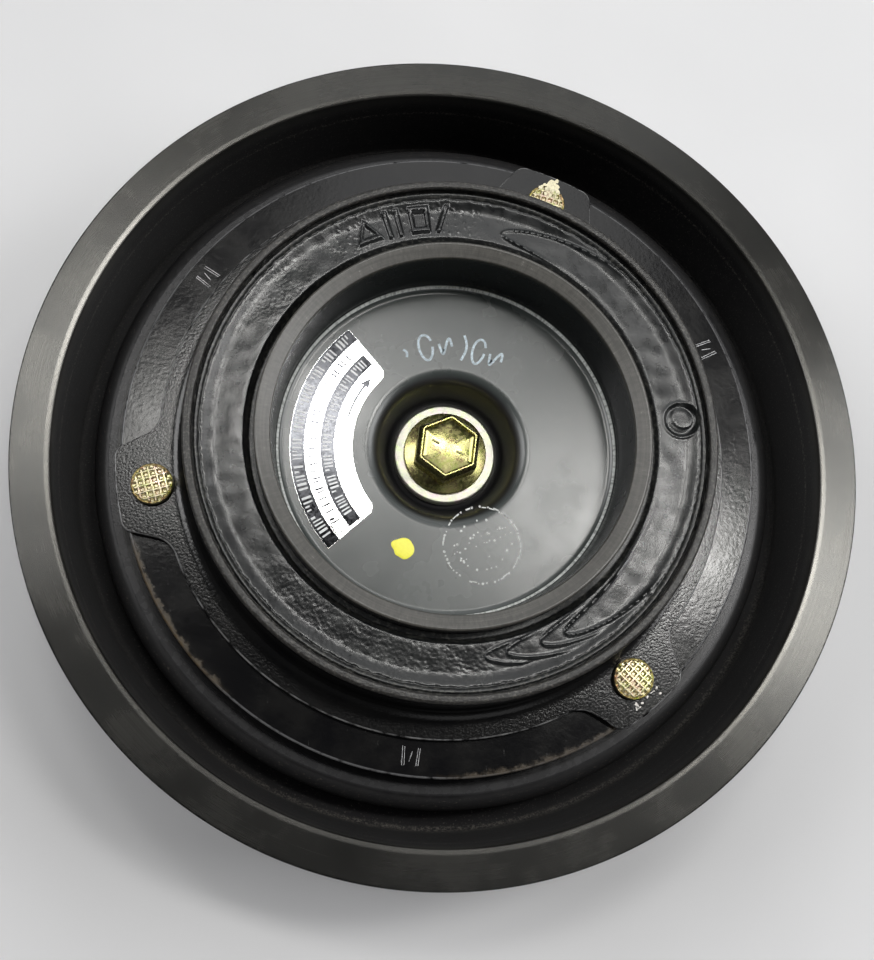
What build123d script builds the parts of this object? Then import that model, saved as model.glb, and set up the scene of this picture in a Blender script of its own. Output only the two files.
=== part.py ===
from build123d import *
import os
from math import cos, pi, radians, sin, tan

# Electromagnetic clutch for a belt-driven air-conditioning compressor, in millimetres.
# +Z runs along the shaft towards the hub. Z = 0 is the back face of the stator flange,
# which sits against the compressor, and the origin is on the shaft axis.

# pulley rim
RIM_R = 77.5                # outside radius of the rim's flanges
RIM_Z0 = 13.0               # back face of the rim
RIM_Z1 = 47.0               # front face of the rim
RIM_WALL_R = 70.0           # inside of the rim at its mouth
RIM_ROOT_R = 68.9           # inside of the rim at the web
RIM_MOUTH_ROUND = 3.0
WEB_Z1 = RIM_Z1 - 19.0      # front face of the web
WEB_THICK = 4.0
RIB_COUNT = 8
RIB_PITCH = 3.56            # multi-ribbed belt, PK profile
RIB_CREST_R = 76.0
RIB_DEPTH = 2.9
RIB_HALF_ANGLE = 20.0
RIB_LAND = 0.7              # flat crest between two grooves
FLANGE_SLOPE = 0.6          # height over which a flange rises from its groove

# rotor: the U-shaped magnet body that carries the rim and the bearing
FRICTION_Z = RIM_Z1 - 10.0
ROTOR_DISC = 5.5
ROTOR_OUT_R = 65.0
ROTOR_OUT_WALL = 7.0
ROTOR_OUT_Z0 = 10.0
ROTOR_ROUND = 3.0
ROTOR_IN_R = 38.5           # outside of the bearing housing
ROTOR_LIP_Z = 5.6           # rear edge, peened over the bearing
ROTOR_LIP = 0.7
FLUX_SLOTS = 6
FLUX_SLOT_RADII = (45.2, 54.0)
FLUX_SLOT_W = 2.2
FLUX_SLOT_SPAN = 46.0

# bearing 40 x 62 x 20.6, double row
BRG_BORE_R = 20.0
BRG_OUT_R = 31.0
BRG_WIDTH = 20.6
BRG_Z0 = 6.4
BALL_R = 3.175
RACE_R = 3.23
ROW_OFFSET = 4.3
BALLS_PER_ROW = 16
INNER_LAND_R = 24.2
OUTER_LAND_R = 26.8
SEAL_IN_R = 23.5
SEAL_OUT_R = 28.4
SEAL_THICK = 0.9
SEAL_INSET = 0.3
SEAL_SEAT_DEPTH = 1.5
SEAL_GAP = 0.1
CAGE_GAP = 0.3
CAGE_POCKET_R = 3.3
CAGE_INNER_REACH = 1.2
CAGE_OUTER_REACH = 4.2

# stator coil
PLATE_BORE_R = 30.0
PLATE_R = 60.5
PLATE_THICK = 3.2
PIN_HOLE_R = 2.1
PIN_HOLE_AT = 36.7
PIN_HOLE_ANGLE = -90.0
COIL_GAP = 0.6              # magnetic running gap to the rotor's walls
SHELL_WALL = 4.2
SHELL_BASE = 3.8
SHELL_Z1 = 30.5
BOBBIN_WALL = 1.0
COIL_SLACK = 0.15
POTTING = 1.3
LEAD_ANGLE = 100.0
LEAD_HOLE_R = 1.5
LEAD_HOLE_DEPTH = 8.0
GROMMET_TIP_R = 66.0
GROMMET_W = 9.0
GROMMET_H = 5.0
GROMMET_NECK_W = 6.6
GROMMET_NECK_H = 3.6
COIL_RING = (29.0, 33.0, 1.75)      # inner radius, outer radius, thickness
NOSE_RING = (18.8, 22.4, 1.7)
RING_GAP_ANGLE = 26.0
RING_LUG_R = 1.9
RING_LUG_HOLE_R = 0.9

# armature and the three-eared outer plate
AIR_GAP = 0.5
ARM_Z0 = FRICTION_Z + AIR_GAP
ARM_THICK = 4.5
ARM_Z1 = ARM_Z0 + ARM_THICK
ARM_IN_R = 38.0
ARM_OUT_R = 59.3
ARM_SLOT_R = 49.5
PLATE2_THICK = 1.5
PLATE2_Z1 = ARM_Z1 + PLATE2_THICK
PLATE2_EDGE_R = 52.7
EAR_TIP_R = 60.1
EAR_TIP_HALF = 6.9
EAR_ROOT_HALF = 11.4
EAR_ROOT_AT = 49.0
EAR_TIP_ROUND = 2.6
EAR_ROOT_ROUND = 4.5
EAR_ANGLES = (-172.0, -52.0, 68.0)
COLLAR_IN_R = 44.5
COLLAR_OUT_R = 46.5
COLLAR_Z1 = RIM_Z1 + 10.5
COLLAR_FLARE = 3.0
RIVET_AT_R = 53.6
RIVET_HEAD_R = 3.95
RIVET_HEAD_H = 1.4
RIVET_SHANK_R = 2.5
RIVET_TAIL_R = 3.8
RIVET_HOLE_GAP = 0.05

# inner hub
CUP_FLOOR_Z = RIM_Z1 - 2.3
CUP_THICK = 2.5
CUP_FLOOR_R = 31.4
CUP_LIP_IN_R = 32.1
CUP_OUT_R = 34.9
CUP_LIP_IN_Z = RIM_Z1 + 10.0
CUP_LIP_Z = RIM_Z1 + 11.0
DIMPLE_R = 10.4             # floor of the well that holds the bolt
DIMPLE_MOUTH_R = 13.2
DIMPLE_Z = RIM_Z1 - 9.0
BOSS_R = 11.0
BOSS_Z0 = 29.5
SPIGOT_R = 7.0
SPLINE_TEETH = 12
SPLINE_MINOR_R = 5.6
SPLINE_MAJOR_R = 6.4
SPLINE_Z1 = 34.5
SHIM_COUNT = 3
SHIM_THICK = 0.3
SHIM_OUT_R = 5.3
BOLT_R = 3.0                # M6
BOLT_HOLE_R = 3.3
BOLT_LENGTH = 12.0
BOLT_FLANGE_R = 7.9
BOLT_FLANGE_EDGE = 0.7
BOLT_CONE_R = 5.6
BOLT_CONE_H = 1.8
HEX_FLATS = 10.0
HEX_ANGLE = 82.6            # direction of one corner of the hexagon
HEX_H = 6.3
HEX_TOP_R = 5.25
DISH_R = 4.3
DISH_DEPTH = 0.7
WASHER_R = 9.6
WASHER_THICK = 1.6
BOND_GAP = 0.05             # keeps the vulcanised faces of two bodies apart in the model
DAMPER_Z0 = PLATE2_Z1 - 0.1
DAMPER_IN_Z1 = RIM_Z1 + 8.7
DAMPER_OUT_Z1 = RIM_Z1 + 8.8
DAMPER_DIP_Z = RIM_Z1 + 6.4
LABEL_IN_R = 17.6
LABEL_OUT_R = 28.9
LABEL_START = 129.3
LABEL_SPAN = 91.9
LABEL_THICK = 0.12
LABEL_ROUND = 1.6

BRG_Z1 = BRG_Z0 + BRG_WIDTH
BRG_MID = (BRG_Z0 + BRG_Z1) / 2
BALL_ORBIT_R = (BRG_BORE_R + BRG_OUT_R) / 2
SHELL_OUT_R = ROTOR_OUT_R - ROTOR_OUT_WALL - COIL_GAP
SHELL_IN_R = ROTOR_IN_R + COIL_GAP
WELL_OUT_R = SHELL_OUT_R - SHELL_WALL
WELL_IN_R = SHELL_IN_R + SHELL_WALL
WELL_Z0 = PLATE_THICK + SHELL_BASE
WASHER_Z1 = DIMPLE_Z + WASHER_THICK


def turned(*corners):
    """Ring about Z from (radius, height) corners; a third number rounds that corner."""
    face = make_face(Polyline(*[c[:2] for c in corners], close=True))
    for r, z, rounding in [c for c in corners if len(c) == 3]:
        corner = face.vertices().sort_by_distance((r, z, 0))[0]
        face = fillet(corner, rounding)
    return revolve(Plane.XZ * face, Axis.Z)


def ring(r_in, r_out, z0, z1):
    """Plain ring between two radii and two heights."""
    return turned((r_in, z0), (r_out, z0), (r_out, z1), (r_in, z1))


def disc(radius, z0, z1):
    """Plain cylinder on the shaft axis."""
    return Pos(0, 0, z0) * Cylinder(radius, z1 - z0, align=(Align.CENTER, Align.CENTER, Align.MIN))


def around(part, count, start=0.0):
    """Copies of a part turned evenly about Z."""
    return [Rot(0, 0, start + 360.0 * i / count) * part for i in range(count)]


def arc_slots(radius, width, span, count, z0, z1, start=0.0):
    """Banana-shaped slots on one circle, as cutters between two heights."""
    arc = CenterArc((0, 0), radius, -span / 2, span)
    cutter = Pos(0, 0, z0) * extrude(SlotArc(arc, width), z1 - z0)
    return around(cutter, count, start)


def pulley_rim():
    """Belt rim with its V-grooves, flanges and the web that reaches the rotor."""
    groove_half = (RIB_PITCH - RIB_LAND) / 2
    root_half = groove_half - RIB_DEPTH * tan(radians(RIB_HALF_ANGLE))
    middle = (RIM_Z0 + RIM_Z1) / 2
    grooves = []
    for i in range(RIB_COUNT):
        z = middle + RIB_PITCH * (RIB_COUNT - 1) / 2 - RIB_PITCH * i
        grooves += [(RIB_CREST_R, z + groove_half), (RIB_CREST_R - RIB_DEPTH, z + root_half)]
        grooves += [(RIB_CREST_R - RIB_DEPTH, z - root_half), (RIB_CREST_R, z - groove_half)]
    first, last = grooves[0][1], grooves[-1][1]
    web_z0 = WEB_Z1 - WEB_THICK
    return turned(
        (RIM_WALL_R, RIM_Z1, RIM_MOUTH_ROUND),
        (RIM_R, RIM_Z1, 0.4),
        (RIM_R, first + FLANGE_SLOPE, 0.4),
        *grooves,
        (RIM_R, last - FLANGE_SLOPE, 0.4),
        (RIM_R, RIM_Z0, 0.4),
        (RIM_WALL_R, RIM_Z0, 1.0),
        (RIM_ROOT_R, web_z0, 1.2),
        (ROTOR_OUT_R, web_z0),
        (ROTOR_OUT_R, WEB_Z1),
        (RIM_ROOT_R, WEB_Z1, 1.0),
        (RIM_WALL_R, RIM_Z1 - 2 * RIM_MOUTH_ROUND),
    )


def rotor():
    """U-shaped rotor: friction disc, outer wall, and bearing housing with its peened lip."""
    disc_z0 = FRICTION_Z - ROTOR_DISC
    inside_r = ROTOR_OUT_R - ROTOR_OUT_WALL
    shoulder_r = BRG_OUT_R - 1.7
    body = turned(
        (shoulder_r, FRICTION_Z, 0.8),
        (ROTOR_OUT_R, FRICTION_Z, ROTOR_ROUND),
        (ROTOR_OUT_R, ROTOR_OUT_Z0, 0.5),
        (inside_r, ROTOR_OUT_Z0, 0.5),
        (inside_r, disc_z0, 1.0),
        (ROTOR_IN_R, disc_z0, 1.0),
        (ROTOR_IN_R, ROTOR_LIP_Z, 0.6),
        (BRG_OUT_R - ROTOR_LIP, ROTOR_LIP_Z),
        (BRG_OUT_R, BRG_Z0),
        (BRG_OUT_R, BRG_Z1),
        (shoulder_r, BRG_Z1),
    )
    for i, radius in enumerate(FLUX_SLOT_RADII):
        start = i * 180.0 / FLUX_SLOTS
        body -= arc_slots(radius, FLUX_SLOT_W, FLUX_SLOT_SPAN, FLUX_SLOTS, disc_z0 - 1, FRICTION_Z + 1, start)
    return body


def ball_rows():
    """Height and start angle of the two rows of balls."""
    return ((BRG_MID + ROW_OFFSET, 0.0), (BRG_MID - ROW_OFFSET, 180.0 / BALLS_PER_ROW))


def raceways():
    """The two ring-shaped paths that the balls run in."""
    return [Pos(0, 0, z) * Torus(BALL_ORBIT_R, RACE_R) for z, _ in ball_rows()]


def bearing_inner_ring():
    """Inner ring on the compressor's nose, with lands for the seal lips."""
    land_r = SEAL_IN_R - SEAL_GAP
    body = turned(
        (BRG_BORE_R, BRG_Z0, 0.4),
        (land_r, BRG_Z0, 0.2),
        (land_r, BRG_Z0 + SEAL_SEAT_DEPTH),
        (INNER_LAND_R, BRG_Z0 + SEAL_SEAT_DEPTH),
        (INNER_LAND_R, BRG_Z1 - SEAL_SEAT_DEPTH),
        (land_r, BRG_Z1 - SEAL_SEAT_DEPTH),
        (land_r, BRG_Z1, 0.2),
        (BRG_BORE_R, BRG_Z1, 0.4),
    )
    return body - raceways()


def bearing_outer_ring():
    """Outer ring in the rotor, with steps that hold the seals."""
    body = turned(
        (SEAL_OUT_R, BRG_Z0, 0.2),
        (BRG_OUT_R, BRG_Z0, 0.4),
        (BRG_OUT_R, BRG_Z1, 0.4),
        (SEAL_OUT_R, BRG_Z1, 0.2),
        (SEAL_OUT_R, BRG_Z1 - SEAL_SEAT_DEPTH),
        (OUTER_LAND_R, BRG_Z1 - SEAL_SEAT_DEPTH),
        (OUTER_LAND_R, BRG_Z0 + SEAL_SEAT_DEPTH),
        (SEAL_OUT_R, BRG_Z0 + SEAL_SEAT_DEPTH),
    )
    return body - raceways()


def bearing_seal(front):
    """Rubber-faced seal between the bearing's rings."""
    z0 = BRG_Z1 - SEAL_INSET - SEAL_THICK if front else BRG_Z0 + SEAL_INSET
    return ring(SEAL_IN_R, SEAL_OUT_R, z0, z0 + SEAL_THICK)


def bearing_balls():
    """All the balls of both rows, as separate solids."""
    balls = []
    for z, start in ball_rows():
        balls += around(Pos(BALL_ORBIT_R, 0, z) * Sphere(BALL_R), BALLS_PER_ROW, start)
    return Compound(children=balls)


def bearing_cage(front):
    """Crown cage of one row, open towards the middle of the bearing."""
    z, start = ball_rows()[0 if front else 1]
    out = 1 if front else -1
    low, high = sorted((z - out * CAGE_INNER_REACH, z + out * CAGE_OUTER_REACH))
    body = ring(INNER_LAND_R + CAGE_GAP, OUTER_LAND_R - CAGE_GAP, low, high)
    return body - around(Pos(BALL_ORBIT_R, 0, z) * Sphere(CAGE_POCKET_R), BALLS_PER_ROW, start)


def stator_flange():
    """Steel mounting plate with the locating-pin hole."""
    body = turned(
        (PLATE_BORE_R, 0, 0.3),
        (PLATE_R, 0, 0.5),
        (PLATE_R, PLATE_THICK, 0.5),
        (PLATE_BORE_R, PLATE_THICK, 0.3),
    )
    pin_hole = Rot(0, 0, PIN_HOLE_ANGLE) * Pos(PIN_HOLE_AT, 0, 0) * Cylinder(PIN_HOLE_R, 4 * PLATE_THICK)
    return body - pin_hole


def lead_notch(width, height, r_in, r_out, z0):
    """Block that lies along the lead's exit direction, resting at z0."""
    block = Box(r_out - r_in, width, height, align=(Align.MIN, Align.CENTER, Align.MIN))
    return Rot(0, 0, LEAD_ANGLE) * Pos(r_in, 0, z0) * block


def stator_shell():
    """U-section steel ring that holds the winding, notched where the lead comes out."""
    body = turned(
        (SHELL_IN_R, PLATE_THICK),
        (SHELL_OUT_R, PLATE_THICK),
        (SHELL_OUT_R, SHELL_Z1, 0.5),
        (WELL_OUT_R, SHELL_Z1, 0.3),
        (WELL_OUT_R, WELL_Z0),
        (WELL_IN_R, WELL_Z0),
        (WELL_IN_R, SHELL_Z1, 0.3),
        (SHELL_IN_R, SHELL_Z1, 0.5),
    )
    slack = 2 * COIL_SLACK
    notch = lead_notch(GROMMET_NECK_W + slack, GROMMET_H + 1, WELL_OUT_R - 1, SHELL_OUT_R + 1, PLATE_THICK)
    return body - notch


def coil_bobbin():
    """Plastic spool with a cheek at each end."""
    r0 = WELL_IN_R + COIL_SLACK
    r1 = WELL_OUT_R - COIL_SLACK
    z0 = WELL_Z0 + COIL_SLACK
    z1 = SHELL_Z1 - POTTING - COIL_SLACK
    core_r = r0 + BOBBIN_WALL
    return turned(
        (r0, z0),
        (r1, z0),
        (r1, z0 + BOBBIN_WALL),
        (core_r, z0 + BOBBIN_WALL),
        (core_r, z1 - BOBBIN_WALL),
        (r1, z1 - BOBBIN_WALL),
        (r1, z1),
        (r0, z1),
    )


def coil_winding():
    """The copper winding as one ring between the bobbin's cheeks."""
    r0 = WELL_IN_R + 2 * COIL_SLACK + BOBBIN_WALL
    z0 = WELL_Z0 + 2 * COIL_SLACK + BOBBIN_WALL
    z1 = SHELL_Z1 - POTTING - 2 * COIL_SLACK - BOBBIN_WALL
    return turned((r0, z0), (WELL_OUT_R - 3 * COIL_SLACK, z0), (WELL_OUT_R - 3 * COIL_SLACK, z1), (r0, z1))


def coil_resin():
    """Potting compound that closes the mouth of the shell."""
    top = SHELL_Z1 - COIL_SLACK
    return ring(WELL_IN_R, WELL_OUT_R, SHELL_Z1 - POTTING, top)


def lead_grommet():
    """Rubber outlet for the coil's lead, with its neck in the shell's notch."""
    neck_z0 = PLATE_THICK + COIL_SLACK
    head = lead_notch(GROMMET_W, GROMMET_H, SHELL_OUT_R + COIL_SLACK, GROMMET_TIP_R, neck_z0)
    head = fillet(head.edges(), 0.9)
    neck = lead_notch(GROMMET_NECK_W, GROMMET_NECK_H, WELL_OUT_R + COIL_SLACK, SHELL_OUT_R + 1, neck_z0)
    hole_from = GROMMET_TIP_R - LEAD_HOLE_DEPTH
    hole = Cylinder(LEAD_HOLE_R, LEAD_HOLE_DEPTH + 1, align=(Align.CENTER, Align.CENTER, Align.MIN))
    hole = Rot(0, 0, LEAD_ANGLE) * Pos(hole_from, 0, neck_z0 + GROMMET_H / 2) * Rot(0, 90, 0) * hole
    return head + neck - hole


def snap_ring(r_in, r_out, thick, z0, gap_at):
    """Open spring ring with an eye at each end for the pliers."""
    body = ring(r_in, r_out, z0, z0 + thick)
    reach = 2 * r_out
    half = radians(RING_GAP_ANGLE / 2)
    corners = [(0, 0), (reach * cos(half), -reach * sin(half)), (reach * cos(half), reach * sin(half))]
    wedge = Pos(0, 0, z0 - 1) * extrude(make_face(Polyline(*corners, close=True)), thick + 2)
    body -= Rot(0, 0, gap_at) * wedge
    lug_at = r_out - RING_LUG_R / 2
    lug_angle = RING_GAP_ANGLE / 2 + 180 / pi * RING_LUG_R / lug_at
    for side in (-1, 1):
        place = Rot(0, 0, gap_at + side * lug_angle) * Pos(lug_at, 0, z0)
        body += place * Pos(0, 0, thick / 2) * Cylinder(RING_LUG_R, thick)
        body -= place * Pos(0, 0, thick / 2) * Cylinder(RING_LUG_HOLE_R, thick * 2)
    return body


def armature_plate():
    """Steel ring that the coil pulls on to the rotor, with flux slots and rivet seats."""
    body = turned(
        (ARM_IN_R, ARM_Z0, 0.3),
        (ARM_OUT_R, ARM_Z0, 0.3),
        (ARM_OUT_R, ARM_Z1, 0.4),
        (ARM_IN_R, ARM_Z1, 0.3),
    )
    body -= arc_slots(ARM_SLOT_R, FLUX_SLOT_W, FLUX_SLOT_SPAN, FLUX_SLOTS, ARM_Z0 - 1, ARM_Z1 + 1)
    for angle in EAR_ANGLES:
        body -= rivet_at(angle, RIVET_HOLE_GAP)
    return body


def rivet_at(angle, growth=0.0):
    """One rivet, or with growth the hole that takes it."""
    z0 = ARM_Z0 + (0.1 if growth == 0 else -0.5)
    shank = RIVET_SHANK_R + growth
    tail = RIVET_TAIL_R + growth
    head = RIVET_HEAD_R + growth
    profile = turned(
        (0, z0),
        (tail, z0),
        (tail, ARM_Z0 + 0.4),
        (shank, ARM_Z0 + 0.4 + tail - shank),
        (shank, PLATE2_Z1),
        (head, PLATE2_Z1),
        (head, PLATE2_Z1 + RIVET_HEAD_H),
        (0, PLATE2_Z1 + RIVET_HEAD_H),
    )
    return Rot(0, 0, angle) * Pos(RIVET_AT_R, 0, 0) * profile


def armature_rivets():
    """The rivets through the ears, as separate solids."""
    return Compound(children=[rivet_at(angle) for angle in EAR_ANGLES])


def ear_outline():
    """One ear, pointing along +X, narrower at its rounded tip."""
    corners = [(EAR_ROOT_AT, -EAR_ROOT_HALF), (EAR_TIP_R + 1, -EAR_TIP_HALF)]
    corners += [(r, -half) for r, half in reversed(corners)]
    return make_face(Polyline(*corners, close=True)) & Circle(EAR_TIP_R)


def outer_plate():
    """Pressed plate: a flat ring with three ears, and a collar that holds the rubber."""
    outline = Circle(PLATE2_EDGE_R)
    for angle in EAR_ANGLES:
        outline += Rot(0, 0, angle) * ear_outline()
    tips = outline.vertices().filter_by(lambda v: (v.X ** 2 + v.Y ** 2) ** 0.5 > EAR_TIP_R - 1)
    outline = fillet(tips, EAR_TIP_ROUND)
    roots = outline.vertices().filter_by(lambda v: abs((v.X ** 2 + v.Y ** 2) ** 0.5 - PLATE2_EDGE_R) < 0.05)
    outline = fillet(roots, EAR_ROOT_ROUND)
    sheet = Pos(0, 0, ARM_Z1) * extrude(outline - Circle(COLLAR_OUT_R), PLATE2_THICK)
    flare_r = COLLAR_OUT_R + COLLAR_FLARE
    collar = turned(
        (COLLAR_IN_R, ARM_Z1, 1.0),
        (flare_r + 1, ARM_Z1),
        (flare_r + 1, PLATE2_Z1),
        (COLLAR_OUT_R, PLATE2_Z1, COLLAR_FLARE),
        (COLLAR_OUT_R, COLLAR_Z1, 0.6),
        (COLLAR_IN_R, COLLAR_Z1, 0.4),
    )
    body = sheet + collar
    for angle in EAR_ANGLES:
        body -= rivet_at(angle, RIVET_HOLE_GAP)
    return body


def rubber_damper():
    """Rubber ring bonded between the cup and the collar, with a hollow front."""
    r0 = CUP_OUT_R + BOND_GAP
    r1 = COLLAR_IN_R - BOND_GAP
    top = Spline((r0, DAMPER_IN_Z1), ((r0 + r1) / 2, DAMPER_DIP_Z), (r1, DAMPER_OUT_Z1))
    sides = Polyline((r1, DAMPER_OUT_Z1), (r1, DAMPER_Z0), (r0, DAMPER_Z0), (r0, DAMPER_IN_Z1))
    return revolve(Plane.XZ * make_face(top + sides), Axis.Z)


def hub_cup():
    """Pressed cup: flat floor, upright wall with a sloping lip, and the bolt's well."""
    below = CUP_FLOOR_Z - CUP_THICK
    return turned(
        (SPIGOT_R, DIMPLE_Z),
        (DIMPLE_R, DIMPLE_Z, 1.0),
        (DIMPLE_MOUTH_R, CUP_FLOOR_Z, 1.8),
        (CUP_FLOOR_R, CUP_FLOOR_Z, 0.8),
        (CUP_LIP_IN_R, CUP_LIP_IN_Z, 0.4),
        (CUP_OUT_R, CUP_LIP_Z, 0.4),
        (CUP_OUT_R, below, CUP_THICK),
        (DIMPLE_MOUTH_R + CUP_THICK, below, 1.0),
        (DIMPLE_R + CUP_THICK, DIMPLE_Z - CUP_THICK, 2.0),
        (SPIGOT_R, DIMPLE_Z - CUP_THICK),
    )


def hub_boss():
    """Splined boss whose spigot is set in the cup's floor."""
    body = disc(BOSS_R, BOSS_Z0, DIMPLE_Z - CUP_THICK) + disc(SPIGOT_R, DIMPLE_Z - CUP_THICK - 1, DIMPLE_Z)
    body -= disc(BOLT_HOLE_R, BOSS_Z0 - 1, DIMPLE_Z + 1)
    body -= disc(SPLINE_MINOR_R, BOSS_Z0 - 1, SPLINE_Z1)
    tooth_w = pi * SPLINE_MINOR_R / SPLINE_TEETH
    space = Box(SPLINE_MAJOR_R, tooth_w, SPLINE_Z1 - BOSS_Z0 + 1, align=(Align.MIN, Align.CENTER, Align.MIN))
    return body - around(Pos(0, 0, BOSS_Z0 - 1) * space, SPLINE_TEETH)


def hub_shims():
    """Spacing shims between the shaft's end and the boss, which set the air gap."""
    shims = []
    for i in range(SHIM_COUNT):
        z1 = SPLINE_Z1 - i * (SHIM_THICK + 0.02)
        shims.append(ring(BOLT_HOLE_R, SHIM_OUT_R, z1 - SHIM_THICK, z1))
    return Compound(children=shims)


def hub_washer():
    """Hard washer under the bolt's flange."""
    return turned(
        (BOLT_HOLE_R, DIMPLE_Z),
        (WASHER_R, DIMPLE_Z, 0.3),
        (WASHER_R, WASHER_Z1, 0.4),
        (BOLT_HOLE_R, WASHER_Z1),
    )


def hub_bolt():
    """M6 flange bolt with a dished hexagon head."""
    hex_top = WASHER_Z1 + HEX_H
    corner_r = HEX_FLATS / 2 / cos(radians(30))
    hexagon = Rot(0, 0, HEX_ANGLE) * RegularPolygon(corner_r, 6)
    head = Pos(0, 0, WASHER_Z1) * extrude(hexagon, HEX_H)
    head &= turned((0, WASHER_Z1), (2 * corner_r, WASHER_Z1), (2 * corner_r, hex_top - 1.0),
                   (corner_r + 0.1, hex_top - 0.5), (HEX_TOP_R, hex_top), (0, hex_top))
    dish_ball = (DISH_R ** 2 + DISH_DEPTH ** 2) / (2 * DISH_DEPTH)
    head -= Pos(0, 0, hex_top - DISH_DEPTH + dish_ball) * Sphere(dish_ball)
    flange = turned(
        (0, WASHER_Z1),
        (BOLT_FLANGE_R, WASHER_Z1),
        (BOLT_FLANGE_R, WASHER_Z1 + BOLT_FLANGE_EDGE, 0.3),
        (BOLT_CONE_R, WASHER_Z1 + BOLT_CONE_H),
        (0, WASHER_Z1 + BOLT_CONE_H),
    )
    tip = WASHER_Z1 - BOLT_LENGTH
    shank = turned((0, tip), (BOLT_R - 0.6, tip), (BOLT_R, tip + 0.6), (BOLT_R, WASHER_Z1 + 1), (0, WASHER_Z1 + 1))
    return head + flange + shank


def hub_label():
    """Thin sticker on the cup's floor, part of a ring with rounded inner corners."""
    inner = CenterArc((0, 0), LABEL_IN_R, LABEL_START, LABEL_SPAN)
    outer = CenterArc((0, 0), LABEL_OUT_R, LABEL_START, LABEL_SPAN)
    ends = [Line(inner @ t, outer @ t) for t in (0, 1)]
    face = make_face([inner, outer] + ends)
    corners = face.vertices().sort_by(lambda v: v.X ** 2 + v.Y ** 2)[:2]
    face = fillet(corners, LABEL_ROUND)
    return Pos(0, 0, CUP_FLOOR_Z) * extrude(face, LABEL_THICK)


NODES = {
    "stator_flange": stator_flange,
    "stator_shell": stator_shell,
    "coil_bobbin": coil_bobbin,
    "coil_winding": coil_winding,
    "coil_resin": coil_resin,
    "lead_grommet": lead_grommet,
    "coil_snap_ring": lambda: snap_ring(*COIL_RING, PLATE_THICK + 0.05, 45.0),
    "bearing_inner_ring": bearing_inner_ring,
    "nose_snap_ring": lambda: snap_ring(*NOSE_RING, BRG_Z1 + 0.05, 60.0),
    "pulley_rim": pulley_rim,
    "rotor": rotor,
    "bearing_outer_ring": bearing_outer_ring,
    "bearing_seal_front": lambda: bearing_seal(True),
    "bearing_seal_rear": lambda: bearing_seal(False),
    "bearing_balls": bearing_balls,
    "bearing_cage_front": lambda: bearing_cage(True),
    "bearing_cage_rear": lambda: bearing_cage(False),
    "hub_cup": hub_cup,
    "hub_boss": hub_boss,
    "hub_shims": hub_shims,
    "hub_bolt": hub_bolt,
    "hub_washer": hub_washer,
    "hub_label": hub_label,
    "rubber_damper": rubber_damper,
    "armature_plate": armature_plate,
    "outer_plate": outer_plate,
    "armature_rivets": armature_rivets,
}

os.makedirs("parts", exist_ok=True)
for name, make in NODES.items():
    export_step(make(), f"parts/{name}.step")
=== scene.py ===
import random
from math import atan2, ceil, cos, degrees, hypot, pi, radians, sin, tan

import bmesh
import bpy
import numpy as np
from mathutils import Matrix, Vector, noise


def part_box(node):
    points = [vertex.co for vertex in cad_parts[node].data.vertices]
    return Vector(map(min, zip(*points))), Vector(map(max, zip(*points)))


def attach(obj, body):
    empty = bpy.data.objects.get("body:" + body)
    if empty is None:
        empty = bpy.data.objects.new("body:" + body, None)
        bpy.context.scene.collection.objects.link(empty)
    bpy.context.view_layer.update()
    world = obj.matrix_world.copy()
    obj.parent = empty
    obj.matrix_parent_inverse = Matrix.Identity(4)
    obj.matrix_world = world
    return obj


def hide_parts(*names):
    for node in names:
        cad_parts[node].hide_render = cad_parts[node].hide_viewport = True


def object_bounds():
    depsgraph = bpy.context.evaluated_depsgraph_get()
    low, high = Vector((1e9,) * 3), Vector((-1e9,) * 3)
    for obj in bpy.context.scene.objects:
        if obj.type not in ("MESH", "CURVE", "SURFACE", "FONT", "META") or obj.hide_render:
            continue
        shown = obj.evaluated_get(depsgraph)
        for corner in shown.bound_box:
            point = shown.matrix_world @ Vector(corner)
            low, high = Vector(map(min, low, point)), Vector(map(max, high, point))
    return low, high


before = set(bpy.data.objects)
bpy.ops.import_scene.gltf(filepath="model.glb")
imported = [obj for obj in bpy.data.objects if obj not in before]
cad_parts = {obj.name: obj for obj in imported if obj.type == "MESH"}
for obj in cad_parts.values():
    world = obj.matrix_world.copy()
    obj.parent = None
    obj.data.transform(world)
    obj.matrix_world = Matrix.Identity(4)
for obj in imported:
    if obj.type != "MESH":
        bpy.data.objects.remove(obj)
cad_low, cad_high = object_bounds()

# Lengths are in millimetres and angles in degrees until a mesh is made. Names that end in R are
# radii, and in Z heights: Z0 is the back of a piece and Z1 its front.
MM = 0.001
PER_M = 1000.0
RIM_R = cad_high.x * PER_M
RIM_Z0, RIM_Z1 = (corner.z * PER_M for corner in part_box("pulley_rim"))
ARM_Z1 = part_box("armature_plate")[1].z * PER_M
PLATE_Z1 = ARM_Z1 + 1.5
COLLAR_Z1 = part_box("outer_plate")[1].z * PER_M
CUP_Z1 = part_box("hub_cup")[1].z * PER_M
LABEL_Z0, LABEL_Z1 = (corner.z * PER_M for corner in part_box("hub_label"))
FLOOR_Z = LABEL_Z0
BOLT_Z1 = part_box("hub_bolt")[1].z * PER_M
WASHER_Z0, WASHER_Z1 = (corner.z * PER_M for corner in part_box("hub_washer"))
ARM_R = 59.3
MOUTH_R = 71.5
LEDGE_Z = 41.0
WEB_Z0, WEB_Z1 = 24.0, 28.0
WEB_CORNER_R = 68.9
DAMPER_MIDDLE_R = 40.5
GROOVE_R0, GROOVE_R1 = 36.6, 44.0
CUP_WALL_R = 31.4
WELL_R = 13.4
EARS = (-172.0, -52.0, 68.0)
RIVET_AT = 53.6
RIVET_R = 3.75
PRINT = 0.03
ARC_STEP = 1.5


# Geometry

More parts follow.
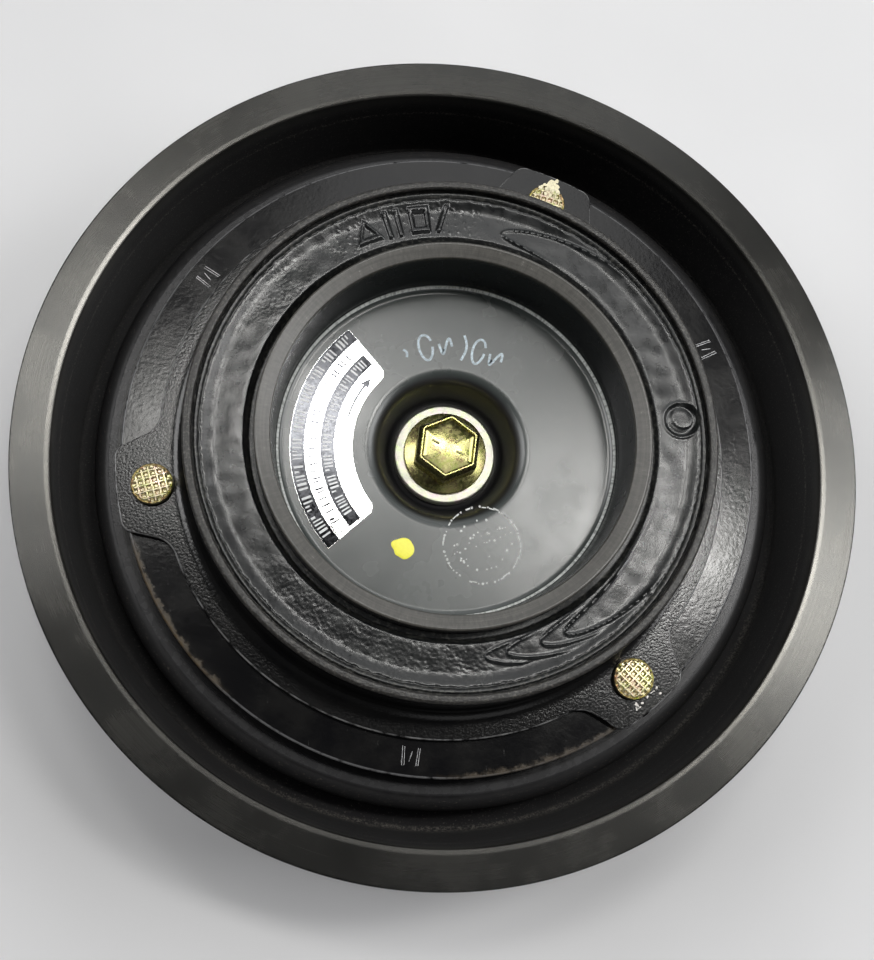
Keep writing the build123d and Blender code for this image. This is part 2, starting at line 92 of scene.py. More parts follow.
def rounded(corners, steps):
    """Points along a polygon whose corners may carry a rounding radius as a third number."""
    points = []
    count = len(corners)
    for i, corner in enumerate(corners):
        here = Vector(corner[:2])
        if len(corner) < 3:
            points.append(here)
            continue
        radius = corner[2]
        back = (Vector(corners[i - 1][:2]) - here).normalized()
        ahead = (Vector(corners[(i + 1) % count][:2]) - here).normalized()
        half = back.angle(ahead) / 2
        centre = here + (back + ahead).normalized() * (radius / sin(half))
        reach = radius / tan(half)
        start, end = here + back * reach - centre, here + ahead * reach - centre
        for k in range(steps + 1):
            points.append(centre + start.lerp(end, k / steps).normalized() * radius)
    return points


def quads_of(index):
    """Faces between neighbouring rows and columns of a grid of vertex numbers."""
    corners = [index[:-1, :-1], index[:-1, 1:], index[1:, 1:], index[1:, :-1]]
    return np.stack(corners, -1).reshape(-1, 4).tolist()


def sheet(angles, radii, heights, closed_section=True, centre=(0.0, 0.0)):
    """Vertices and faces of a surface given as rows of radius and height around a full turn."""
    angles = np.radians(angles)
    radii, heights, _ = np.broadcast_arrays(radii, heights, angles)
    rows, columns = radii.shape
    x = radii * np.cos(angles) + centre[0]
    y = radii * np.sin(angles) + centre[1]
    points = np.stack([x, y, heights], -1).reshape(-1, 3)
    index = np.arange(rows * columns).reshape(rows, columns)
    if closed_section:
        index = np.vstack([index, index[:1]])
    return points, quads_of(np.hstack([index, index[:, :1]]))


def turned(corners, segments, steps, closed_section=True):
    """Vertices and faces of a body of revolution about Z."""
    profile = np.array(rounded(corners, steps))
    angles = np.arange(segments) * 360.0 / segments
    return sheet(angles, profile[:, :1], profile[:, 1:], closed_section)


def prism(outline, z0, z1):
    """Vertices and faces of a flat outline given thickness."""
    count = len(outline)
    low = [(x, y, z0) for x, y in outline]
    high = [(x, y, z1) for x, y in outline]
    sides = [(i, (i + 1) % count, count + (i + 1) % count, count + i) for i in range(count)]
    return np.array(low + high), sides + [tuple(reversed(range(count))), tuple(range(count, 2 * count))]


def mesh_of(name, shapes, smooth=35.0, weighted=False):
    """One object from several shapes in millimetres."""
    points, faces, first = [], [], 0
    for shape_points, shape_faces in shapes:
        points.append(np.asarray(shape_points, float))
        faces += [tuple(v + first for v in face) for face in shape_faces]
        first += len(shape_points)
    mesh = bpy.data.meshes.new(name)
    mesh.from_pydata((np.concatenate(points) * MM).tolist(), [], faces)
    made = bmesh.new()
    made.from_mesh(mesh)
    bmesh.ops.remove_doubles(made, verts=made.verts, dist=1e-7)
    bmesh.ops.dissolve_degenerate(made, edges=made.edges, dist=1e-8)
    bmesh.ops.recalc_face_normals(made, faces=made.faces)
    made.to_mesh(mesh)
    made.free()
    mesh.polygons.foreach_set("use_smooth", [True] * len(mesh.polygons))
    mesh.set_sharp_from_angle(angle=radians(smooth))
    thing = bpy.data.objects.new(name, mesh)
    bpy.context.scene.collection.objects.link(thing)
    if weighted:
        thing.modifiers.new("even_shading", "WEIGHTED_NORMAL").keep_sharp = True
    return thing


def piece(name, shapes, body, slot, look, *nodes, smooth=20.0, weighted=False):
    """A mesh with its material, its body and the CAD nodes it stands for; slot is not used."""
    thing = mesh_of(name, shapes, smooth, weighted)
    thing.data.materials.append(looks[look])
    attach(thing, body)
    if nodes:
        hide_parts(*nodes)


def turned_piece(name, profile, segments, steps, *place):
    """A body of revolution with even shading over its rounded edges; place is as in piece."""
    piece(name, [turned(profile, segments, steps)], *place, smooth=35.0, weighted=True)


def polar(radius, angle):
    """X and Y of the point at a radius and an angle about Z."""
    return radius * cos(radians(angle)), radius * sin(radians(angle))


def smoothstep(low, high, value):
    t = np.clip((value - low) / (high - low), 0, 1)
    return t * t * (3 - 2 * t)


def noise_at(points, scale, offset=0.0):
    """Perlin noise, about -1 to 1, at each of the points scaled to the noise's own size."""
    flat = np.asarray(points).reshape(-1, 3) * scale + offset
    return np.array([noise.noise(Vector(p)) for p in flat]).reshape(np.shape(points)[:-1])


def ribbon(points, width):
    """Outline of a stroke along the points."""
    points = [Vector(p) for p in points]
    left, right = [], []
    for i, here in enumerate(points):
        along = (points[min(i + 1, len(points) - 1)] - points[max(i - 1, 0)]).normalized()
        across = Vector((-along.y, along.x)) * width / 2
        left.append(tuple(here + across))
        right.append(tuple(here - across))
    return left + right[::-1]


def arc_patch(r0, r1, start, end):
    """Outline of a patch between two radii and two angles."""
    count = max(1, ceil(abs(end - start) / ARC_STEP))
    angles = [start + (end - start) * i / count for i in range(count + 1)]
    return [polar(r1, a) for a in angles] + [polar(r0, a) for a in reversed(angles)]


# Materials

class Nodes:
    """A node tree in the making."""

    def __init__(self, tree):
        self.tree = tree

    def add(self, kind, inputs=None, **settings):
        node = self.tree.nodes.new(kind)
        for key, value in settings.items():
            setattr(node, key, value)
        for key, value in (inputs or {}).items():
            self.put(node.inputs[key], value)
        return node

    def put(self, socket, value):
        if isinstance(value, bpy.types.NodeSocket):
            self.tree.links.new(value, socket)
        else:
            socket.default_value = value

    def math(self, operation, a, b=0.0):
        return self.add("ShaderNodeMath", {0: a, 1: b}, operation=operation).outputs[0]

    def times(self, *values):
        product = values[0]
        for value in values[1:]:
            product = self.math("MULTIPLY", product, value)
        return product

    def plus(self, a, b):
        return self.math("ADD", a, b)

    def most(self, a, b):
        return self.math("MAXIMUM", a, b)

    def step(self, value, low, high, out_low=0.0, out_high=1.0):
        """Smooth change from out_low to out_high as value goes from low to high."""
        node = self.add("ShaderNodeMapRange", interpolation_type="SMOOTHSTEP")
        for key, number in zip(range(5), (value, low, high, out_low, out_high)):
            self.put(node.inputs[key], number)
        return node.outputs[0]


class Look(Nodes):
    """A node material in the making, with its own coordinates in millimetres."""

    def __init__(self, name):
        self.material = bpy.data.materials.new(name)
        self.material.use_nodes = True
        super().__init__(self.material.node_tree)
        self.shader = self.tree.nodes["Principled BSDF"]
        coordinates = self.add("ShaderNodeTexCoord").outputs["Object"]
        scaled = self.add("ShaderNodeVectorMath", {0: coordinates, "Scale": PER_M}, operation="SCALE")
        self.at = scaled.outputs[0]
        self.x, self.y, self.z = self.add("ShaderNodeSeparateXYZ", {0: self.at}).outputs
        self.r = self.math("SQRT", self.plus(self.math("POWER", self.x, 2), self.math("POWER", self.y, 2)))
        self.height = None

    def vector(self, x, y, z):
        return self.add("ShaderNodeCombineXYZ", {0: x, 1: y, 2: z}).outputs[0]

    def noise(self, scale, detail=2.0, roughness=0.5, at=None):
        """Noise from 0 to 1 with scale features per millimetre."""
        node = self.add("ShaderNodeTexNoise", {"Scale": scale, "Detail": detail, "Roughness": roughness})
        self.put(node.inputs["Vector"], self.at if at is None else at)
        return node.outputs["Fac"]

    def rings(self, per_mm, drift=0.03):
        """Coordinates in which noise comes out as fine concentric lines."""
        return self.vector(self.times(self.r, per_mm), self.times(self.x, drift), self.times(self.y, drift))

    def spokes(self, count, drift=0.3):
        """Coordinates in which noise comes out as short radial lines."""
        return self.vector(
            self.times(self.math("DIVIDE", self.x, self.r), count),
            self.times(self.math("DIVIDE", self.y, self.r), count),
            self.times(self.plus(self.r, self.z), drift),
        )

    def sector(self, angle, half, soft):
        """1 within half degrees of the angle about Z, fading out over soft degrees."""
        c, s = cos(radians(angle)), sin(radians(angle))
        along = self.plus(self.times(self.x, c), self.times(self.y, s))
        facing = self.math("DIVIDE", along, self.r)
        return self.step(facing, cos(radians(half + soft)), cos(radians(half)))

    def mix(self, factor, a, b):
        """Colour a where factor is 0, and b where it is 1."""
        node = self.add("ShaderNodeMix", {0: factor}, data_type="RGBA")
        for key, value in ((6, a), (7, b)):
            self.put(node.inputs[key], (*value, 1.0) if isinstance(value, tuple) else value)
        return node.outputs[2]

    def colour(self, value):
        self.put(self.shader.inputs["Base Color"], value)

    def relief(self, height, depth):
        """Adds height, 0 to 1, as relief of depth millimetres."""
        part = self.times(height, depth)
        self.height = part if self.height is None else self.plus(self.height, part)

    def done(self, **sockets):
        """The finished material; sockets are the shader's own inputs, written as plain names."""
        for key, value in sockets.items():
            self.put(self.shader.inputs[key.replace("_", " ").title().replace("Ior", "IOR")], value)
        if self.height is not None:
            bump = self.add("ShaderNodeBump", {"Height": self.height, "Distance": MM, "Strength": 1.0})
            self.put(self.shader.inputs["Normal"], bump.outputs[0])
        return self.material


def rim_look():
    """Satin black rim: turned lines on its flat faces, sooty dust on its inner wall."""
    look = Look("rim_satin")
    lines = look.noise(1.0, 3, 0.6, look.rings(5.0))
    fine = look.noise(1.0, 2, 0.7, look.rings(14.0, 0.02))
    blotch = look.noise(0.09, 3, 0.55)
    inside = look.step(look.r, MOUTH_R - 0.9, MOUTH_R - 1.3)
    outer_edge = look.step(look.r, RIM_R - 0.45, RIM_R - 0.2)
    chips = look.times(outer_edge, look.step(look.noise(1.3, 3, 0.7), 0.50, 0.58))
    # Painted highlight: the round at the mouth is painted a lighter grey than the face.
    mouth_highlight = look.times(
        look.step(look.r, MOUTH_R + 0.1, MOUTH_R - 0.3),
        look.step(look.r, MOUTH_R - 1.15, MOUTH_R - 0.75),
    )
    face = look.mix(look.step(blotch, 0.35, 0.68), (0.052, 0.052, 0.050), (0.068, 0.067, 0.063))
    face = look.mix(look.step(lines, 0.3, 0.75), face, (0.056, 0.055, 0.052))
    face = look.mix(chips, face, (0.010, 0.010, 0.010))
    face = look.mix(mouth_highlight, face, (0.080, 0.078, 0.073))
    # Dust: specks all over the wall, a line along its ledge and a drift in the corner by the web.
    specks = look.step(look.noise(2.6, 2, 0.8), 0.62, 0.68)
    off_ledge = look.math("ABSOLUTE", look.plus(look.z, -LEDGE_Z))
    ledge = look.times(look.step(off_ledge, 0.5, 0.1), look.step(look.noise(2.2, 2, 0.8), 0.50, 0.6))
    corner = look.times(
        look.step(look.z, WEB_Z1 + 3.0, WEB_Z1 + 1.3),
        look.step(look.r, WEB_CORNER_R - 1.0, WEB_CORNER_R - 0.4),
    )
    thickest = look.plus(look.times(look.sector(-75, 45, 20), 0.8), 0.2)
    drift = look.times(corner, look.step(look.noise(2.4, 3, 0.8), 0.46, 0.60), thickest)
    dust = look.most(look.most(look.times(specks, 0.7), look.times(ledge, 0.9)), drift)
    wall = look.mix(look.noise(0.35, 4, 0.6), (0.0028, 0.0027, 0.0034), (0.0078, 0.0073, 0.0078))
    wall = look.mix(look.times(dust, 0.55), wall, (0.110, 0.101, 0.088))
    look.colour(look.mix(inside, face, wall))
    smooth = look.plus(look.times(fine, 0.08), look.step(blotch, 0.3, 0.7, 0.20, 0.245))
    look.relief(lines, 0.004)
    look.relief(look.times(look.noise(3.0, 3, 0.7), inside), 0.03)
    tangent = look.add("ShaderNodeTangent", direction_type="RADIAL", axis="Z")
    look.put(look.shader.inputs["Tangent"], tangent.outputs[0])
    return look.done(
        metallic=look.step(inside, 0.0, 1.0, 1.0, 0.0),
        roughness=look.plus(smooth, look.times(inside, 0.32)),
        anisotropic=0.95,
        anisotropic_rotation=0.25,
        specular_ior_level=0.2,
    )


def painted(name, dark, light, roughness, grain=1.6, depth=0.008):
    """Paint, plastic or rubber with a fine grain and an uneven tone."""
    look = Look(name)
    tone = look.noise(0.12, 3, 0.6)
    grit = look.noise(grain, 3, 0.65)
    look.colour(look.mix(look.step(tone, 0.3, 0.7), dark, light))
    look.relief(grit, depth)
    gritty = look.step(grit, 0.3, 0.7, roughness - 0.05, roughness + 0.05)
    return look.done(roughness=look.plus(look.step(tone, 0.25, 0.75, -0.04, 0.05), gritty))


def metal(name, dark, light, roughness, depth=0.006, lines=0.0, patch=0.25):
    """Bare or plated metal, with turned lines where asked for."""
    look = Look(name)
    tone = look.noise(patch, 4, 0.6)
    look.colour(look.mix(look.step(tone, 0.3, 0.7), dark, light))
    fine = look.noise(1.0, 2, 0.6, look.rings(lines)) if lines else look.noise(2.0, 3, 0.6)
    look.relief(fine, depth)
    brushed = look.step(fine, 0.3, 0.7, roughness - 0.05, roughness + 0.05)
    return look.done(metallic=1.0, roughness=look.plus(brushed, look.step(tone, 0.3, 0.7, -0.03, 0.04)))


def rotor_look():
    """Black rotor: glossy, with a painted highlight band on its rounded outer edge, dull and dusty beyond
    it.
    """
    look = Look("rotor_black")
    edge_r, highlight_band_z = 62.0, 34.0
    beyond = look.step(look.r, edge_r, edge_r + 1.2)
    specks = look.times(
        beyond,
        look.step(look.r, edge_r + 0.3, edge_r + 1.5),
        look.step(look.noise(2.4, 3, 0.8), 0.60, 0.68),
    )
    # Painted highlight: a lighter, metallic band on the rounded outer edge.
    highlight_band = look.times(
        look.step(look.r, edge_r - 1.6, edge_r - 1.0),
        look.step(look.r, edge_r + 0.5, edge_r - 0.1),
        look.step(look.z, highlight_band_z, highlight_band_z + 1.0),
        0.35,
    )
    black = look.mix(look.noise(0.5, 3, 0.6), (0.0035, 0.0035, 0.0045), (0.0085, 0.0080, 0.0080))
    black = look.mix(highlight_band, black, (0.085, 0.085, 0.088))
    look.colour(look.mix(look.times(specks, 0.5), black, (0.11, 0.095, 0.075)))
    look.relief(look.noise(1.0, 2, 0.6, look.rings(3.0, 0.05)), 0.003)
    duller = look.plus(look.times(beyond, 0.45), look.times(highlight_band, 0.08))
    rough = look.plus(look.step(look.noise(0.6, 2), 0.3, 0.7, 0.22, 0.27), duller)
    return look.done(roughness=rough, metallic=highlight_band, specular_ior_level=0.35)


def armature_look():
    """Glossy black lacquer on the armature, rusty on part of its outer edge, with a painted highlight along
    that edge.
    """
    look = Look("armature_lacquer")
    tone = look.noise(0.16, 3, 0.6)
    fine = look.noise(1.0, 2, 0.6, look.rings(2.2, 0.05))
    ragged = look.plus(look.r, look.step(look.noise(0.5, 3, 0.6), 0.3, 0.7, -0.45, 0.45))
    rust = look.times(
        look.plus(look.sector(212, 9, 9), look.times(look.sector(-73, 13, 8), 0.55)),
        look.step(ragged, ARM_R - 1.3, ARM_R - 0.1),
        look.step(look.noise(1.1, 3, 0.6), 0.25, 0.6, 0.5, 1.0),
    )
    streaks = look.vector(look.times(look.x, 1.3), look.times(look.y, 0.25), look.z)
    scuffs = look.step(look.noise(1.0, 3, 0.7, streaks), 0.66, 0.74)
    # Painted highlight: a pale line along the rounded top of the outer edge.
    edge = look.times(
        look.step(look.r, ARM_R - 0.5, ARM_R - 0.3),
        look.step(look.z, ARM_Z1 - 0.6, ARM_Z1 - 0.5),
        look.step(look.noise(0.5, 3, 0.6), 0.3, 0.5),
    )
    black = look.mix(look.step(tone, 0.3, 0.7), (0.0035, 0.0035, 0.0042), (0.0062, 0.0060, 0.0060))
    black = look.mix(look.times(scuffs, 0.20), black, (0.04, 0.038, 0.036))
    black = look.mix(look.times(edge, 0.30), black, (0.42, 0.42, 0.43))
    brown = look.mix(look.noise(0.9, 2), (0.040, 0.026, 0.011), (0.110, 0.074, 0.032))
    look.colour(look.mix(rust, black, brown))
    look.relief(fine, 0.002)
    look.relief(look.noise(0.35, 2, 0.5), 0.008)
    look.relief(look.noise(1.3, 2, 0.5), 0.016)
    duller = look.plus(look.times(rust, 0.4), look.times(scuffs, 0.15))
    return look.done(roughness=look.plus(look.step(tone, 0.3, 0.7, 0.14, 0.18), duller))


def plate_look():
    """Black paint of the outer plate: pebbled on the flat, paler along its eased edges."""
    look = Look("plate_paint")
    tone = look.noise(0.14, 3, 0.6)
    pebble = look.noise(2.3, 2, 0.5)
    collar = look.step(look.z, COLLAR_Z1 - 0.9, COLLAR_Z1 - 0.3)
    specks = look.step(look.noise(2.4, 3, 0.8), 0.66, 0.74)
    grime = look.step(look.noise(1.9, 4, 0.8), 0.50, 0.66)
    # Paler grey painted along the eased top edges of the plate and its ears.
    worn = look.times(
        look.step(look.r, 48.0, 48.6),
        look.step(look.z, PLATE_Z1 - 0.34, PLATE_Z1 - 0.24),
        look.step(look.z, PLATE_Z1 - 0.004, PLATE_Z1 - 0.02),
        look.step(look.noise(0.35, 3, 0.6), 0.35, 0.6),
    )
    paint = look.mix(look.step(tone, 0.3, 0.7), (0.0040, 0.0040, 0.0045), (0.0075, 0.0073, 0.0072))
    paint = look.mix(collar, paint, look.mix(grime, (0.014, 0.013, 0.012), (0.085, 0.080, 0.070)))
    paint = look.mix(look.times(worn, 0.55), paint, (0.36, 0.36, 0.36))
    look.colour(look.mix(look.times(specks, 0.12), paint, (0.16, 0.15, 0.14)))
    look.relief(pebble, 0.034)
    look.relief(look.times(look.noise(0.8, 4, 0.7), collar), 0.16)
    return look.done(roughness=look.plus(look.step(pebble, 0.3, 0.7, 0.15, 0.22), look.times(collar, 0.20)))


def rubber_look():
    """Black rubber: a dull bloom in patches, a duller stretch at one side, pale flecks at both rims."""
    look = Look("damper_rubber")
    bloom = look.noise(0.22, 4, 0.62)
    grain = look.noise(2.6, 3, 0.65)
    streak = look.noise(1.0, 3, 0.65, look.rings(1.6, 0.10))
    upper = look.times(look.sector(50, 24, 12), look.step(look.noise(0.30, 3, 0.6), 0.40, 0.62))
    rims = look.most(
        look.step(look.r, GROOVE_R0 + 0.3, GROOVE_R0 - 0.3),
        look.step(look.r, GROOVE_R1 - 0.1, GROOVE_R1 + 0.4),
    )
    flecks = look.step(look.noise(1.6, 3, 0.75), 0.50, 0.62)
    colour = look.mix(look.step(bloom, 0.32, 0.68), (0.004, 0.0045, 0.005), (0.010, 0.011, 0.011))
    colour = look.mix(look.times(look.step(streak, 0.55, 0.75), 0.3), colour, (0.040, 0.041, 0.039))
    colour = look.mix(look.times(upper, 0.7), colour, (0.006, 0.007, 0.008))
    look.colour(look.mix(look.times(rims, flecks, 0.55), colour, (0.11, 0.108, 0.095)))
    look.relief(grain, 0.012)
    look.relief(streak, 0.010)
    rough = look.plus(look.step(bloom, 0.3, 0.7, 0.235, 0.285), look.times(upper, 0.12))
    return look.done(roughness=look.plus(rough, look.times(rims, 0.12)), specular_ior_level=0.62)


def cup_look():
    """Satin black of the cup: even on the floor, brown-grey and hatched on the lip, with painted shade and a
    painted highlight.
    """
    look = Look("cup_paint")
    tone = look.noise(0.10, 3, 0.55)
    fine = look.noise(3.2, 2, 0.5)
    on_lip = look.step(look.z, FLOOR_Z + 10.9, FLOOR_Z + 12.1)
    hatch = look.noise(1.0, 3, 0.7, look.spokes(62, 0.5))
    turned_lines = look.noise(1.0, 2, 0.7, look.rings(3.6, 0.05))
    specks = look.times(on_lip, look.step(hatch, 0.62, 0.72), look.step(turned_lines, 0.52, 0.64))
    # Painted shade: the inner wall and the well round the bolt are painted near-black.
    wall = look.times(
        look.step(look.r, CUP_WALL_R - 0.4, CUP_WALL_R + 0.2),
        look.step(look.z, FLOOR_Z + 0.5, FLOOR_Z + 1.3),
    )
    well = look.times(
        look.step(look.r, WELL_R + 2.6, WELL_R + 0.8),
        look.step(look.z, FLOOR_Z - 0.1, FLOOR_Z - 0.8),
    )
    # Painted highlight: a pale line round the rounded corner of the floor.
    corner = look.times(
        look.step(look.r, CUP_WALL_R - 0.55, CUP_WALL_R - 0.4),
        look.step(look.r, CUP_WALL_R, CUP_WALL_R - 0.15),
        look.step(look.z, FLOOR_Z + 1.3, FLOOR_Z + 0.8),
        look.step(hatch, 0.3, 0.6, 0.35, 1.0),
    )
    paint = look.mix(look.step(tone, 0.3, 0.7), (0.034, 0.041, 0.039), (0.041, 0.048, 0.046))
    # Painted shade in the well and on the inner wall.
    paint = look.mix(look.most(wall, well), paint, (0.004, 0.004, 0.005))
    paint = look.mix(corner, paint, (0.66, 0.68, 0.66))
    patches = look.step(look.plus(hatch, turned_lines), 0.8, 1.2)
    lip = look.mix(patches, (0.044, 0.042, 0.037), (0.074, 0.070, 0.062))
    colour = look.mix(on_lip, paint, lip)
    look.colour(look.mix(look.times(specks, 0.7), colour, (0.34, 0.33, 0.30)))
    look.relief(fine, 0.003)
    look.relief(look.times(hatch, on_lip), 0.012)
    duller = look.plus(look.times(on_lip, 0.12), look.times(well, 0.15))
    return look.done(
        roughness=look.plus(look.step(tone, 0.3, 0.7, 0.24, 0.29), duller),
        specular_ior_level=0.75,
    )


def zinc_look(name, tint, roughness, stain=0.5):
    """Yellow passivated zinc with its faint pink and green play of colour."""
    look = Look(name)
    play = look.noise(0.55, 3, 0.6)
    patches = look.noise(1.3, 4, 0.65)
    red, green, blue = tint
    rosy = (red * 0.95, green * 0.74, blue * 0.95)
    greenish = (red * 0.82, green * 0.98, blue * 0.62)
    colour = look.mix(look.step(play, 0.38, 0.62), rosy, greenish)
    colour = look.mix(look.step(patches, 0.35, 0.6), colour, tint)
    stains = look.times(look.step(look.noise(2.4, 4, 0.7), 0.56, 0.70), stain)
    look.colour(look.mix(stains, colour, tuple(c * 0.62 for c in tint)))
    look.relief(look.noise(4.0, 3, 0.6), 0.012)
    rough = look.step(patches, 0.3, 0.7, roughness - 0.06, roughness + 0.08)
    return look.done(metallic=1.0, roughness=rough)


def winding_look():
    """Enamelled copper wire, layer on layer."""
    look = Look("copper_winding")
    # Painted shade: the copper is painted darker towards the grooves between the turns.
    turns = look.math("ABSOLUTE", look.math("SINE", look.times(look.z, 7.0)))
    look.colour(look.mix(turns, (0.20, 0.055, 0.018), (0.62, 0.24, 0.09)))
    look.relief(turns, 0.12)
    return look.done(metallic=1.0, roughness=look.step(turns, 0.0, 1.0, 0.5, 0.3))


def flat_ink(name, colour, roughness, cover, worn=(0.4, 0.65)):
    """Paint, ink or foil print with an uneven tone."""
    look = Look(name)
    wear = look.step(look.noise(2.2, 4, 0.7), *worn)
    look.colour(look.mix(look.times(wear, cover), colour, tuple(c * 0.45 for c in colour)))
    look.relief(look.noise(3.0, 3, 0.6), 0.01)
    return look.done(roughness=look.step(wear, 0.0, 1.0, roughness, min(1.0, roughness + 0.15)))


looks = {
    "rim": rim_look(),
    "rotor": rotor_look(),
    "armature": armature_look(),
    "plate": plate_look(),
    "rubber": rubber_look(),
    "cup": cup_look(),
    "bolt": zinc_look("bolt_zinc", (0.45, 0.42, 0.18), 0.24, 0.6),
    # Darker zinc on the bolt's ticks is painted shade along them.
    "tick": zinc_look("tick_zinc", (0.17, 0.16, 0.08), 0.35),
    "washer": zinc_look("washer_zinc", (0.36, 0.36, 0.31), 0.36),
    "rivet": zinc_look("rivet_zinc", (0.60, 0.54, 0.36), 0.34, 0.7),
    "foil": metal("label_silver", (0.86, 0.87, 0.88), (0.93, 0.94, 0.94), 0.20, depth=0.003),
    "dark_print": metal("label_dark_print", (0.030, 0.031, 0.034), (0.042, 0.043, 0.047), 0.13, depth=0.002),
    "white_print": flat_ink("label_white_print", (0.80, 0.81, 0.82), 0.30, 0.10),
    "yellow": flat_ink("paint_yellow", (0.88, 0.84, 0.08), 0.35, 0.12),
    "pale_smear": flat_ink("paint_smear", (0.86, 0.79, 0.55), 0.6, 0.55),
    "blue_ink": flat_ink("marker_ink", (0.56, 0.66, 0.72), 0.45, 0.85, (0.38, 0.62)),
    "stamp": flat_ink("stamp_ink", (0.62, 0.64, 0.62), 0.5, 0.5),
    "fleck": metal("bare_fleck", (0.38, 0.36, 0.34), (0.62, 0.60, 0.57), 0.45),
    "scribe": metal("scribed_steel", (0.16, 0.16, 0.165), (0.40, 0.40, 0.41), 0.45, patch=0.9),
    "zinc": metal("flange_zinc", (0.42, 0.43, 0.44), (0.60, 0.61, 0.62), 0.38, lines=1.8, depth=0.012),
    "shell": painted("shell_black", (0.012, 0.012, 0.013), (0.028, 0.027, 0.026), 0.45, depth=0.04),
    "bobbin": painted("bobbin_nylon", (0.55, 0.52, 0.42), (0.66, 0.62, 0.50), 0.45),
    "copper": winding_look(),
    "resin": painted("potting_resin", (0.030, 0.028, 0.026), (0.060, 0.056, 0.050), 0.30, 0.5, 0.10),
    "grommet": painted("grommet_rubber", (0.018, 0.018, 0.018), (0.034, 0.034, 0.033), 0.6, depth=0.03),
    "spring": metal("spring_steel", (0.10, 0.10, 0.11), (0.22, 0.21, 0.20), 0.35),
    "bearing": metal("bearing_steel", (0.56, 0.56, 0.57), (0.68, 0.68, 0.69), 0.22, lines=3.0, depth=0.004),
    "ball": metal("ball_steel", (0.70, 0.70, 0.71), (0.80, 0.80, 0.81), 0.08, depth=0.001),
    "cage": painted("cage_nylon", (0.30, 0.20, 0.10), (0.40, 0.28, 0.15), 0.5),
    "seal": painted("seal_rubber", (0.050, 0.022, 0.014), (0.085, 0.036, 0.022), 0.5, depth=0.02),
    "boss": metal("boss_steel", (0.28, 0.27, 0.26), (0.42, 0.41, 0.39), 0.36, lines=2.4, depth=0.010),
    "shim": metal("shim_steel", (0.52, 0.52, 0.53), (0.64, 0.64, 0.65), 0.28),
}


# Pieces

def pulley_rim():
    """Belt rim: flat turned face, deep wall, eight rounded V-grooves and the web."""
    count, pitch, crest, depth, land = 8, 3.56, 76.0, 2.9, 0.7
    flank = radians(20)
    top_half = (pitch - land) / 2
    root_half = top_half - depth * tan(flank)
    middle = (RIM_Z0 + RIM_Z1) / 2
    grooves = []
    for i in range(count):
        z = middle + pitch * ((count - 1) / 2 - i)
        grooves += [(crest, z + top_half, 0.18), (crest - depth, z + root_half, 0.16)]
        grooves += [(crest - depth, z - root_half, 0.16), (crest, z - top_half, 0.18)]
    first, last = grooves[0][1], grooves[-1][1]
    web_r = 65.0
    profile = [
        (MOUTH_R - 1.0, RIM_Z1 - 0.2, 0.5),
        (MOUTH_R, RIM_Z1, 1.2),
        (RIM_R, RIM_Z1, 0.35),
        (RIM_R, first + 0.6, 0.3),
        *grooves,
        (RIM_R, last - 0.6, 0.3),
        (RIM_R, RIM_Z0, 0.4),
        (70.0, RIM_Z0, 1.0),
        (WEB_CORNER_R, WEB_Z0, 1.2),
        (web_r, WEB_Z0),
        (web_r, WEB_Z1),
        (WEB_CORNER_R, WEB_Z1, 1.0),
        (70.1, LEDGE_Z),
    ]
    turned_piece("rim", profile, 360, 4, "pulley", "rim_black", "rim", "pulley_rim")


def hub_cup():
    """Pressed cup with its wide lip, flat floor and the well round the bolt."""
    sheet_mm = 2.5
    below, bore, outer = FLOOR_Z - sheet_mm, 7.0, 34.9
    profile = [
        (bore, WASHER_Z0),
        (WELL_R - 3.0, WASHER_Z0, 1.6),
        (WELL_R, FLOOR_Z, 3.2),
        (CUP_WALL_R, FLOOR_Z, 1.6),
        (CUP_WALL_R + 0.7, CUP_Z1 - 1.0, 0.35),
        (outer, CUP_Z1, 0.4),
        (outer, below, 2.5),
        (WELL_R + 2.3, below, 1.0),
        (WELL_R - 0.5, WASHER_Z0 - sheet_mm, 1.0),
        (bore, WASHER_Z0 - sheet_mm),
    ]
    turned_piece("cup", profile, 320, 8, "hub", "hub_paint", "cup", "hub_cup")


def gate_mark(z, flat):
    """The rubber's height z with a moulding gate: flat patch, raised ring, sunk disc and scar."""
    x, y = polar(41.1, 4.3)
    gap = np.hypot(flat[..., 0] - x, flat[..., 1] - y)
    z = np.where(gap < 3.6, z + smoothstep(3.6, 2.9, gap) * (55.0 - z) * 0.8, z)
    z += 0.22 * np.exp(-((gap - 3.25) / 0.2) ** 2)
    z += 0.16 * smoothstep(2.6, 1.6, gap) - 0.30 * smoothstep(3.0, 2.7, gap)
    scar = np.hypot(flat[..., 0] - x - 0.5, flat[..., 1] - y - 0.6)
    return z - 0.16 * smoothstep(2.0, 2.25, scar) * smoothstep(2.75, 2.5, gap)


def moulded_marks(r, turn):
    """Height of the plain shapes moulded into the rubber: a bar, a box, two bars and a wedge."""
    height, rise = np.zeros_like(r), 0.50
    for kind, at in (("bar", 92.5), ("box", 98.5), ("bars", 105.5), ("wedge", 112.5)):
        x = np.radians(turn - at) * 41.0
        y = r - 40.4
        if kind == "bar":
            line = np.maximum(np.abs(x + 0.35 * y) - 0.1, np.abs(y) - 2.3)
        elif kind == "box":
            line = np.abs(np.maximum(np.abs(x) / 1.7, np.abs(y) / 2.35) - 0.85) * 1.9 - 0.1
        elif kind == "bars":
            line = np.maximum(np.abs(np.abs(x) - 1.05) - 0.1, np.abs(y) - 2.3)
        else:
            line = np.abs(np.maximum(-y / 2.2, (np.abs(x) * 1.7 + y) / 2.2) - 0.8) * 1.9 - 0.1
        height += rise * smoothstep(0.45, 0.12, line)
    return height


